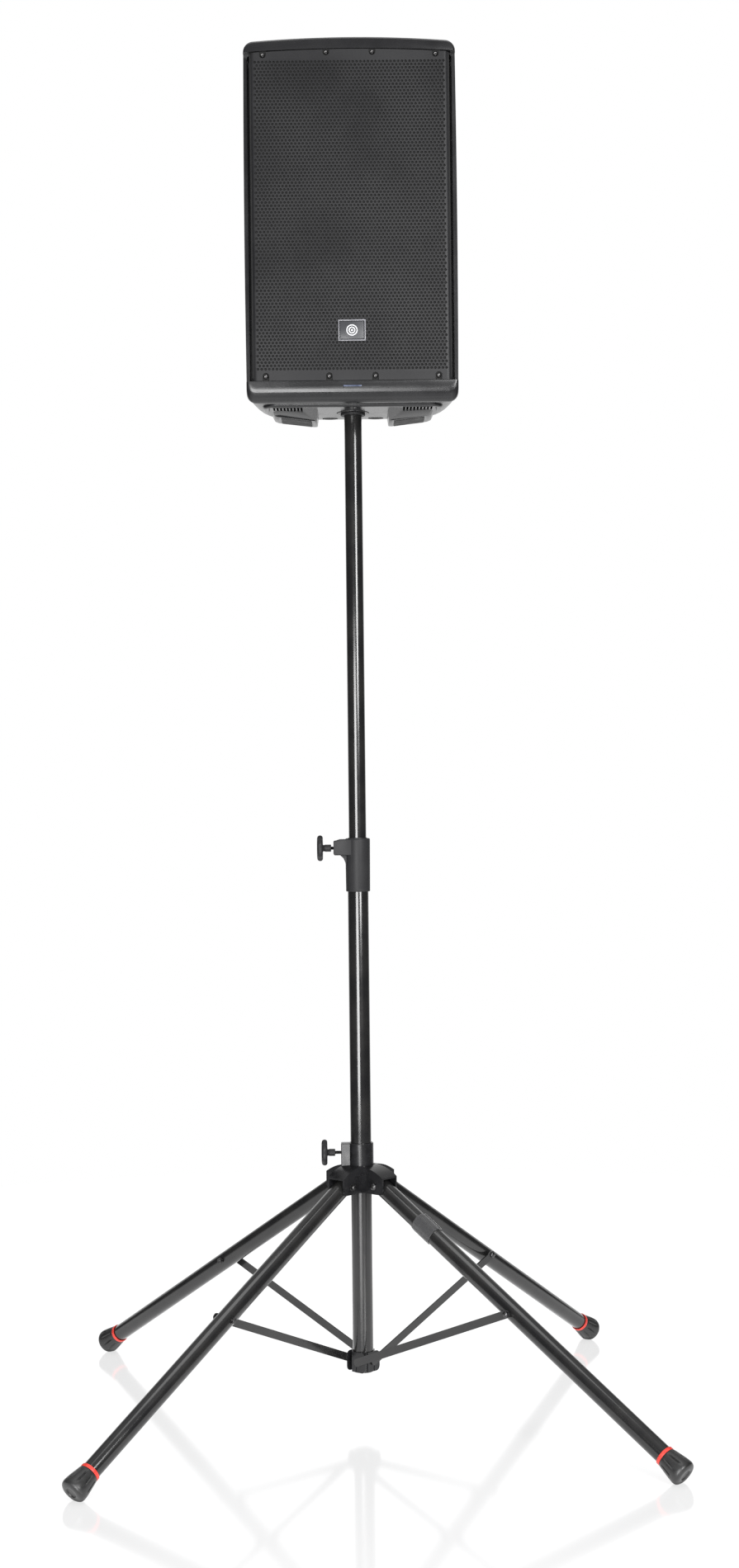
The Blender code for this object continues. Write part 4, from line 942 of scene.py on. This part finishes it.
def make_underside():
    """Raised centre pan of the base with its bead and slot rows, oval plugs and skid pads."""
    x, y0, y1 = 0.157, -0.0915, 0.074
    outline = []
    for sx, cy, r, a in ((1, y1 - 0.004, 0.004, 0), (-1, y1 - 0.004, 0.004, 90), (-1, y0 + 0.012, 0.012, 180),
                         (1, y0 + 0.012, 0.012, 270)):
        outline += arc(sx * (x - 0.018), cy, r, a, a + 90, 8)
    # The pan's lighter plastic is painted floor light on the underside.
    pan = prism("base_pan", outline, BASE_Z - 0.0022, BASE_Z + 0.0015, Matrix.Identity(4), BASE_FLOOR_LIT)
    bake(soften(pan, 0.0012, 3, 40))
    boolean(pan, [rod(0.0300, BASE_Z - 0.02, BASE_Z + 0.02)] + comb(-1) + comb(1))
    shade(clean(pan, 0.05), 34)
    # half-round bead along the pan's front edge, turning back at its ends
    turn, front, n = 0.020, -0.0835, 12
    right = arc(x - turn, front + turn, turn, -90, 0, 10) + [(x, -0.030), (x, 0.020)]
    path = [(-px, py) for px, py in right[::-1]] + right
    verts, faces = [], []
    for i, (px, py) in enumerate(path):
        a, b = path[max(0, i - 1)], path[min(len(path) - 1, i + 1)]
        t = Vector((b[0] - a[0], b[1] - a[1], 0)).normalized()
        out = Vector((t.y, -t.x, 0))
        from_end = min(i, len(path) - 1 - i)
        fade = (0.05, 0.9)[from_end] if from_end < 2 else 1.0
        for k in range(n):
            c = 2 * math.pi * k / n
            verts.append(Vector((px, py, BASE_Z - 0.0006)) + out * (0.0062 * math.cos(c) * fade)
                         + Vector((0, 0, 0.0044 * math.sin(c) * fade)))
    for i in range(len(path) - 1):
        here, there = i * n, (i + 1) * n
        faces += [(here + k, here + (k + 1) % n, there + (k + 1) % n, there + k) for k in range(n)]
    faces += [tuple(range(n)), tuple(range((len(path) - 1) * n, len(path) * n))]
    parts = [pan, new("t", verts, faces, SHELL, 50)]
    stand_for(join("base_pan", parts), "cabinet", "textured_black_shell")
    for s, name in ((-1, "left"), (1, "right")):
        refine("foot_pad_" + name, "cabinet", "black_rubber", PAD, 0.0010, 3)
        disc = rounded([(0, -0.0004), (0.0140, -0.0004), (0.0146, 0.002), (0, 0.002)], 0.0003)
        disc = lathe("base_disc_" + name, disc, PAD, 64)
        for v in disc.data.vertices:
            v.co.y *= 0.6
        place(disc, Matrix.Translation((s * 0.0425, 0.0640, BASE_Z - 0.0024)))
        stand_for(disc, "cabinet", "black_rubber")


# ---------------------------------------------------------------- grille
GR_FRONT, GR_T, GR_HALF, GR_ROLL, GR_BACK = -0.1492, 0.0012, 0.1780, 0.010, -0.1315
FIELD_S, FIELD_Z = 0.1708, (1.8880, 2.4390)
COLUMNS, ROWS, HOLE_R = 51, 95, 0.0024
SCREW_X = (-0.1535, -0.0410, 0.0410, 0.1535)
FLAT = GR_HALF - GR_ROLL
SIDE_S = FLAT + GR_ROLL * math.pi / 2 + (GR_BACK - (GR_FRONT + GR_ROLL))


def bent(s, z, t):
    """A point of the flat sheet, rolled back along its long sides; t is the depth behind its face."""
    over = abs(s) - FLAT
    if over <= 0:
        return (s, GR_FRONT + t, z)
    a = min(over / GR_ROLL, math.pi / 2)
    rest = over - a * GR_ROLL
    x = FLAT + (GR_ROLL - t) * math.sin(a)
    y = GR_FRONT + GR_ROLL - (GR_ROLL - t) * math.cos(a) + rest
    return (math.copysign(x, s), y, z)


def grille_top(s):
    x = min(abs(s), GR_HALF)
    return GRILLE_Z[1] + EDGE_BOW * (1 - (x / (HALF_W - 0.006)) ** 2) - 0.0008


def perforations():
    """The perforated field: one tile of sheet per hole, rows set over by half a pitch."""
    pitch, rise = 2 * FIELD_S / COLUMNS, (FIELD_Z[1] - FIELD_Z[0]) / ROWS
    corner = {1: (1, 1), 4: (-1, 1), 6: (-1, -1), 9: (1, -1)}
    rim, circle = [], []
    for k in range(10):
        a = math.radians(36 * k)
        if k in corner:
            rim.append((corner[k][0] * pitch / 2, corner[k][1] * rise / 2))
        elif k in (0, 5):
            rim.append((math.copysign(pitch / 2, math.cos(a)), 0.0))
        else:
            rim.append((rise / 2 * math.cos(a) / abs(math.sin(a)), math.copysign(rise / 2, math.sin(a))))
        circle.append((HOLE_R * math.cos(a), HOLE_R * math.sin(a)))
    verts, faces = [], []
    for row in range(ROWS):
        cz = FIELD_Z[0] + rise * (row + 0.5)
        odd = row % 2
        for col in range(COLUMNS - odd):
            cs = -FIELD_S + pitch * (col + 0.5 + 0.5 * odd)
            base = len(verts)
            verts += [bent(cs + a, cz + b, 0.0) for a, b in rim]
            verts += [bent(cs + a, cz + b, 0.0) for a, b in circle]
            verts += [bent(cs + a, cz + b, GR_T) for a, b in circle]
            for k in range(10):
                j = (k + 1) % 10
                faces.append((base + k, base + j, base + 10 + j, base + 10 + k))
                faces.append((base + 10 + k, base + 10 + j, base + 20 + j, base + 20 + k))
        if odd:
            for s in (-1, 1):
                base = len(verts)
                verts += [bent(s * (FIELD_S - e), cz + h * rise / 2, 0.0) for e, h in
                          ((0, -1), (pitch / 2, -1), (pitch / 2, 1), (0, 1))]
                order = (0, 1, 2, 3) if s < 0 else (0, 3, 2, 1)
                faces.append(tuple(base + k for k in order))
    me = bpy.data.meshes.new("perforations")
    me.from_pydata(verts, [], faces)
    me.materials.append(GRILLE)
    ob = bpy.data.objects.new("perforations", me)
    scene.collection.objects.link(ob)
    return ob


def u_notch(cx, cz, r, mouth, up):
    """Points of a U-shaped notch, from its left mouth corner to its right one."""
    turn = -1 if up else 1
    pts = [(cx - r, mouth)]
    for a in range(0, 181, 15):
        pts.append((cx - r * math.cos(math.radians(a)), cz + turn * r * math.sin(math.radians(a))))
    return pts + [(cx + r, mouth)]


def grille_rim():
    """The sheet's plain margin: bands above and below with screw notches, and the rolled long sides."""
    g0, notch_r = GRILLE_Z[0] + 0.0006, 0.0058
    even = [-0.17 + 0.34 * i / 24 for i in range(25)]
    clear = [x for x in even if all(abs(x - c) > 0.008 for c in SCREW_X)] + [-SIDE_S, SIDE_S]
    rows = [(x, [(x, grille_top(x))]) for x in clear]
    rows += [(c, u_notch(c, grille_top(c) - 0.0052, notch_r, grille_top(c), True)) for c in SCREW_X]
    top = [point for x, points in sorted(rows) for point in points]
    bottom = [(-SIDE_S, g0)]
    for c in SCREW_X:
        bottom += u_notch(c, 1.8785, notch_r, g0, False)
    outer = top[::-1] + bottom + [(SIDE_S, g0)]                   # right to left along the top, then back
    z0, z1 = FIELD_Z
    inner = [(-FIELD_S, z0), (-FIELD_S, z1), (FIELD_S, z1), (FIELD_S, z0)]
    curve = bpy.data.curves.new("rim", "CURVE")
    curve.dimensions, curve.fill_mode, curve.extrude = "2D", "BOTH", GR_T / 2
    for pts in (outer, inner):
        spline = curve.splines.new("POLY")
        spline.points.add(len(pts) - 1)
        for point, (a, b) in zip(spline.points, pts):
            point.co = (a, b, 0, 1)
        spline.use_cyclic_u = True
    holder = bpy.data.objects.new("rim", curve)
    scene.collection.objects.link(holder)
    bpy.context.view_layer.update()
    me = bpy.data.meshes.new_from_object(holder.evaluated_get(bpy.context.evaluated_depsgraph_get()))
    bpy.data.objects.remove(holder, do_unlink=True)
    bm = bmesh.new()
    bm.from_mesh(me)
    bmesh.ops.remove_doubles(bm, verts=bm.verts, dist=0.00001)
    for s in (-1, 1):
        for k in range(13):
            at = s * (FLAT + GR_ROLL * math.pi / 2 * k / 12)
            bmesh.ops.bisect_plane(bm, geom=list(bm.verts) + list(bm.edges) + list(bm.faces), dist=0.000001,
                                   plane_co=(at, 0, 0), plane_no=(1, 0, 0))
    for v in bm.verts:
        v.co = bent(v.co.x, v.co.y, GR_T / 2 - v.co.z)
    bmesh.ops.recalc_face_normals(bm, faces=bm.faces)
    bm.to_mesh(me)
    bm.free()
    me.materials.clear()
    me.materials.append(GRILLE)
    ob = bpy.data.objects.new("rim", me)
    scene.collection.objects.link(ob)
    return ob


def four_lobes(a, r, h):
    return r * (0.42 + 0.58 * abs(math.cos(2 * a)) ** 3)


def make_grille():
    sheet = join("grille_sheet", [shade(grille_rim(), 30), perforations()])
    sheet.data.set_sharp_from_angle(angle=math.radians(30))
    stand_for(sheet, "cabinet", "grey_black_grille", "grille")
    lo, hi = (-0.1775, GR_FRONT + 0.0030, 1.8745), (0.1775, GR_FRONT + 0.0055, 2.4520)
    foam = box("grille_foam", lo, hi, FOAM, 0.0006, 2)
    stand_for(foam, "cabinet", "black_rubber")
    # screws in the notches, and the tab that each one pulls against, near black in the foam finish as painted
    # shade at the back of each notch
    for level, name in ((0, "lower"), (1, "upper")):
        for i, x in enumerate(SCREW_X):
            z = grille_top(x) - 0.0056 if level else 1.8772
            head = [(0, -0.0006), (0.0010, -0.0006), (0.0013, -0.0016), (0.0024, -0.0019), (0.0034, -0.0012),
                    (0.0040, 0.0), (0.0040, 0.0016), (0, 0.0016)]
            cross = [(0, -0.0030), (0.0021, -0.0030), (0.0014, -0.0004), (0, -0.0004)]
            ob = lathe("t", head, BLACK_STEEL, 40)
            boolean(ob, [lathe("t", cross, None, 24, four_lobes)])
            # near-black tab: a real tab, coloured as painted shade behind the screw in its notch
            tab = box("t", (-0.0068, -0.0075, 0.0016), (0.0068, 0.0075, 0.0024), FOAM, 0.0003)
            ob = join("grille_screw_%s_%d" % (name, i + 1), [shade(ob, 30), tab])
            place(ob, along((x, GR_FRONT + 0.0012, z), (0, 1, 0), (1, 0, 0)))
            stand_for(ob, "cabinet", "black_steel")


def make_badge():
    """Plain nameplate: raised metal rim on three sides, light grey as a painted highlight, dark field,
    generic ring mark.
    """
    lo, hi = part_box("badge")
    centre = ((lo.x + hi.x) / 2, (lo.z + hi.z) / 2)
    w, h = (hi.x - lo.x) / 2, (hi.z - lo.z) / 2
    edge, inset = 0.0024, 0.0030
    low, high = (-w + inset, lo.y + 0.0008, -h + inset), (w - inset, hi.y, h - inset)
    plate = box("t", low, high, PLATE, 0.0010, 3)
    # The rim bars' light grey is a painted highlight.
    bars = [box("t", (-w, lo.y + 0.0002, z), (w, hi.y, z + edge), RIM_HIGHLIGHT, 0.0006, 2) for z in (-h, h - edge)]
    bars += [box("t", (x, lo.y + 0.0003, -h), (x + edge, hi.y, h), RIM_HIGHLIGHT, 0.0006, 2) for x in (-w, w - edge)]
    ob = join("nameplate", bars + [plate])
    shade(ob, 40)
    place(ob, Matrix.Translation((centre[0], 0, centre[1])))
    stand_for(ob, "cabinet", "grey_black_plastic", "badge")
    # generic mark: two concentric rings and a dot
    marks = []
    for r in (0.0100, 0.0060):
        ring = [(r, 0.0), (r, -0.0008), (r - 0.0019, -0.0008), (r - 0.0019, 0.0)]
        marks.append(lathe("t", rounded(ring, 0.0002), BRIGHT, 64))
    dot = [(0, -0.0008), (0.0014, -0.0007), (0.0019, -0.0004), (0.0020, 0.0), (0, 0.0)]
    marks.append(lathe("t", dot, BRIGHT, 40))
    mark = place(join("ring_mark", marks), along((centre[0], lo.y + 0.0009, centre[1]), (0, 1, 0), (1, 0, 0)))
    stand_for(mark, "cabinet", "zinc_steel")


# ---------------------------------------------------------------- inside and back
def make_inside():
    for node, slot, mat in (("horn", "grey_black_plastic", PLASTIC),
                            ("compression_driver", "black_steel", BLACK_STEEL),
                            ("woofer_frame", "black_steel", BLACK_STEEL),
                            ("woofer_magnet", "black_steel", BLACK_STEEL),
                            ("woofer_surround", "black_rubber", RUBBER),
                            ("amp_board", "circuit_board", BOARD)):
        refine(node, "cabinet", slot, mat, 0.0006)
    refine("woofer_cone", "cone", "cone_paper", PAPER, 0)
    refine("pole_socket", "cabinet", "black_steel", BLACK_STEEL, 0.0005)
    refine("pole_adapter", "adapter", "grey_black_plastic", PLASTIC, 0.0006)


def rear_screw(name, x, z, r=0.0036):
    head = [(0, 0.0012), (0.0010, 0.0012), (0.0014, 0.0022), (r * 0.6, 0.0026), (r * 0.9, 0.0018),
            (r, 0.0006), (r, 0.0), (0, 0.0)]
    ob = place(lathe(name, head, BLACK_STEEL, 40), along((x, PANEL_Y, z), (0, 1, 0), (1, 0, 0)))
    stand_for(ob, "cabinet", "black_steel")


def make_back():
    refine("amp_panel", "cabinet", "grey_black_plastic", PANEL, 0.0007, 2)
    for node in ("power_inlet", "input_jack_1", "input_jack_2"):
        refine(node, "cabinet", "grey_black_plastic", PLASTIC, 0.0004, 2)
    refine("mode_button", "button", "grey_black_plastic", PLASTIC, 0.0004, 2)
    refine("power_switch", "rocker", "grey_black_plastic", PLASTIC, 0.0006, 2)
    for i, body in ((1, "volume_1"), (2, "volume_2")):
        node = "volume_knob_%d" % i
        refine(node, body, "grey_black_plastic", PLASTIC, 0.0004, 2)
        lo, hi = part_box(node)
        x, z = (lo.x + hi.x) / 2, (lo.z + hi.z) / 2
        line = box("t", (-0.0005, 0, 0.0015), (0.0005, 0.0004, 0.0068), BRIGHT, 0.00015, 2)
        line.name = "pointer_%d" % i
        stand_for(place(line, Matrix.Translation((x, hi.y - 0.0001, z))), body, "zinc_steel")
        ticks = []
        for k in range(11):
            top = 0.0125 if k % 5 else 0.0136
            tick = box("t", (-0.0004, 0, 0.0105), (0.0004, 0.0003, top), PLATE, 0.0001, 1)
            tick.matrix_world = Matrix.Rotation(math.radians(-150 + 30 * k), 4, "Y")
            ticks.append(tick)
        bpy.context.view_layer.update()
        scale = join("dial_%d" % i, ticks)
        turned = scale.matrix_world.copy()
        stand_for(place(scale, Matrix.Translation((x, PANEL_Y, z)) @ turned), "cabinet", "grey_black_plastic")
    n = 0
    for x in (-PANEL_W / 2 + 0.007, PANEL_W / 2 - 0.007):
        for z in (-0.155, -0.052, 0.052, 0.155):
            n += 1
            rear_screw("panel_screw_%d" % n, x, PANEL_Z + z)


def make_stage():
    """Pale glossy floor and plain soft studio light: a low box light on the left, a high one on the right."""
    floor = lathe("floor", [(0, 0.0), (1.0, 0.0), (2.6, 0.0), (2.6, -0.002), (0, -0.002)], None, 128)
    m = bpy.data.materials.new("floor")
    m.use_nodes = True
    shader = m.node_tree.nodes["Principled BSDF"]
    shader.inputs["Base Color"].default_value = (0.20, 0.20, 0.202, 1)
    shader.inputs["Roughness"].default_value = 0.10
    shader.inputs["Emission Color"].default_value = (1, 1, 1, 1)
    shader.inputs["Emission Strength"].default_value = FLOOR_GLOW
    floor.data.materials.append(m)

    def softbox(name, azimuth, distance, z, width, height, radiance, aim=None):
        a = math.radians(azimuth)
        at = Vector((distance * math.sin(a), -distance * math.cos(a), z))
        light = bpy.data.lights.new(name, "AREA")
        light.shape, light.size, light.size_y = "RECTANGLE", width, height
        light.energy = radiance * 4 * width * height
        ob = bpy.data.objects.new(name, light)
        scene.collection.objects.link(ob)
        ob.location = at
        ob.rotation_mode = "QUATERNION"
        ob.rotation_quaternion = (Vector((0, 0, z if aim is None else aim)) - at).to_track_quat("-Z", "Y")
        return ob

    softbox("light_left", -12.5, 4.4, 0.84, 1.9, 1.75, 16.0)
    softbox("light_right", 26, 4.4, 2.30, 1.35, 2.0, 19.0)
    softbox("light_top", 0, 0.9, 5.2, 2.6, 2.6, 2.2, 0.0)
    under = softbox("light_under", 0, 0.001, 0.004, 2.6, 2.6, 0.45, 3.0)
    under.rotation_quaternion = Vector((0, 0, 1)).to_track_quat("-Z", "Y")
    under.visible_camera = False

    world = bpy.data.worlds.new("studio")
    scene.world = world
    world.use_nodes = True
    nodes, links = world.node_tree.nodes, world.node_tree.links
    nodes.clear()
    out = nodes.new("ShaderNodeOutputWorld")
    seen, room = nodes.new("ShaderNodeBackground"), nodes.new("ShaderNodeBackground")
    seen.inputs["Color"].default_value = (1, 1, 1, 1)
    seen.inputs["Strength"].default_value = 1.0
    coord, split = nodes.new("ShaderNodeTexCoord"), nodes.new("ShaderNodeSeparateXYZ")
    links.new(coord.outputs["Generated"], split.inputs[0])

    def ramp(socket, a, b, low_value=0.0, high_value=1.0):
        n = nodes.new("ShaderNodeMapRange")
        n.interpolation_type = "SMOOTHSTEP"
        links.new(socket, n.inputs["Value"])
        for key, v in zip(("From Min", "From Max", "To Min", "To Max"), (a, b, low_value, high_value)):
            n.inputs[key].default_value = v
        return n.outputs["Result"]

    def calc(kind, a, b):
        n = nodes.new("ShaderNodeMath")
        n.operation = kind
        for socket, v in zip(n.inputs, (a, b)):
            if isinstance(v, float):
                socket.default_value = v
            else:
                links.new(v, socket)
        return n.outputs[0]

    backdrop = ramp(split.outputs["Y"], 0.62, 0.84, 0.0, 0.92)
    overhead = ramp(split.outputs["Z"], 0.45, 0.90, 0.0, 0.55)
    front = ramp(split.outputs["Y"], -0.99, -0.55, 0.16, 0.0)
    strength = calc("ADD", calc("ADD", calc("MAXIMUM", backdrop, overhead), front), 0.09)
    room.inputs["Color"].default_value = (1, 1, 1, 1)
    links.new(strength, room.inputs["Strength"])
    path, mix = nodes.new("ShaderNodeLightPath"), nodes.new("ShaderNodeMixShader")
    links.new(path.outputs["Is Camera Ray"], mix.inputs[0])
    links.new(room.outputs[0], mix.inputs[1])
    links.new(seen.outputs[0], mix.inputs[2])
    links.new(mix.outputs[0], out.inputs[0])


make_stage()
make_poles()
make_clutch()
make_hub()
for leg_name in LEGS:
    make_leg(leg_name)
make_strap()
refine("brace_collar", "mast", "black_casting", CAST, 0.0007, 2)
make_rear_shell()
make_front_shell()
make_underside()
make_grille()
make_badge()
make_inside()
make_back()
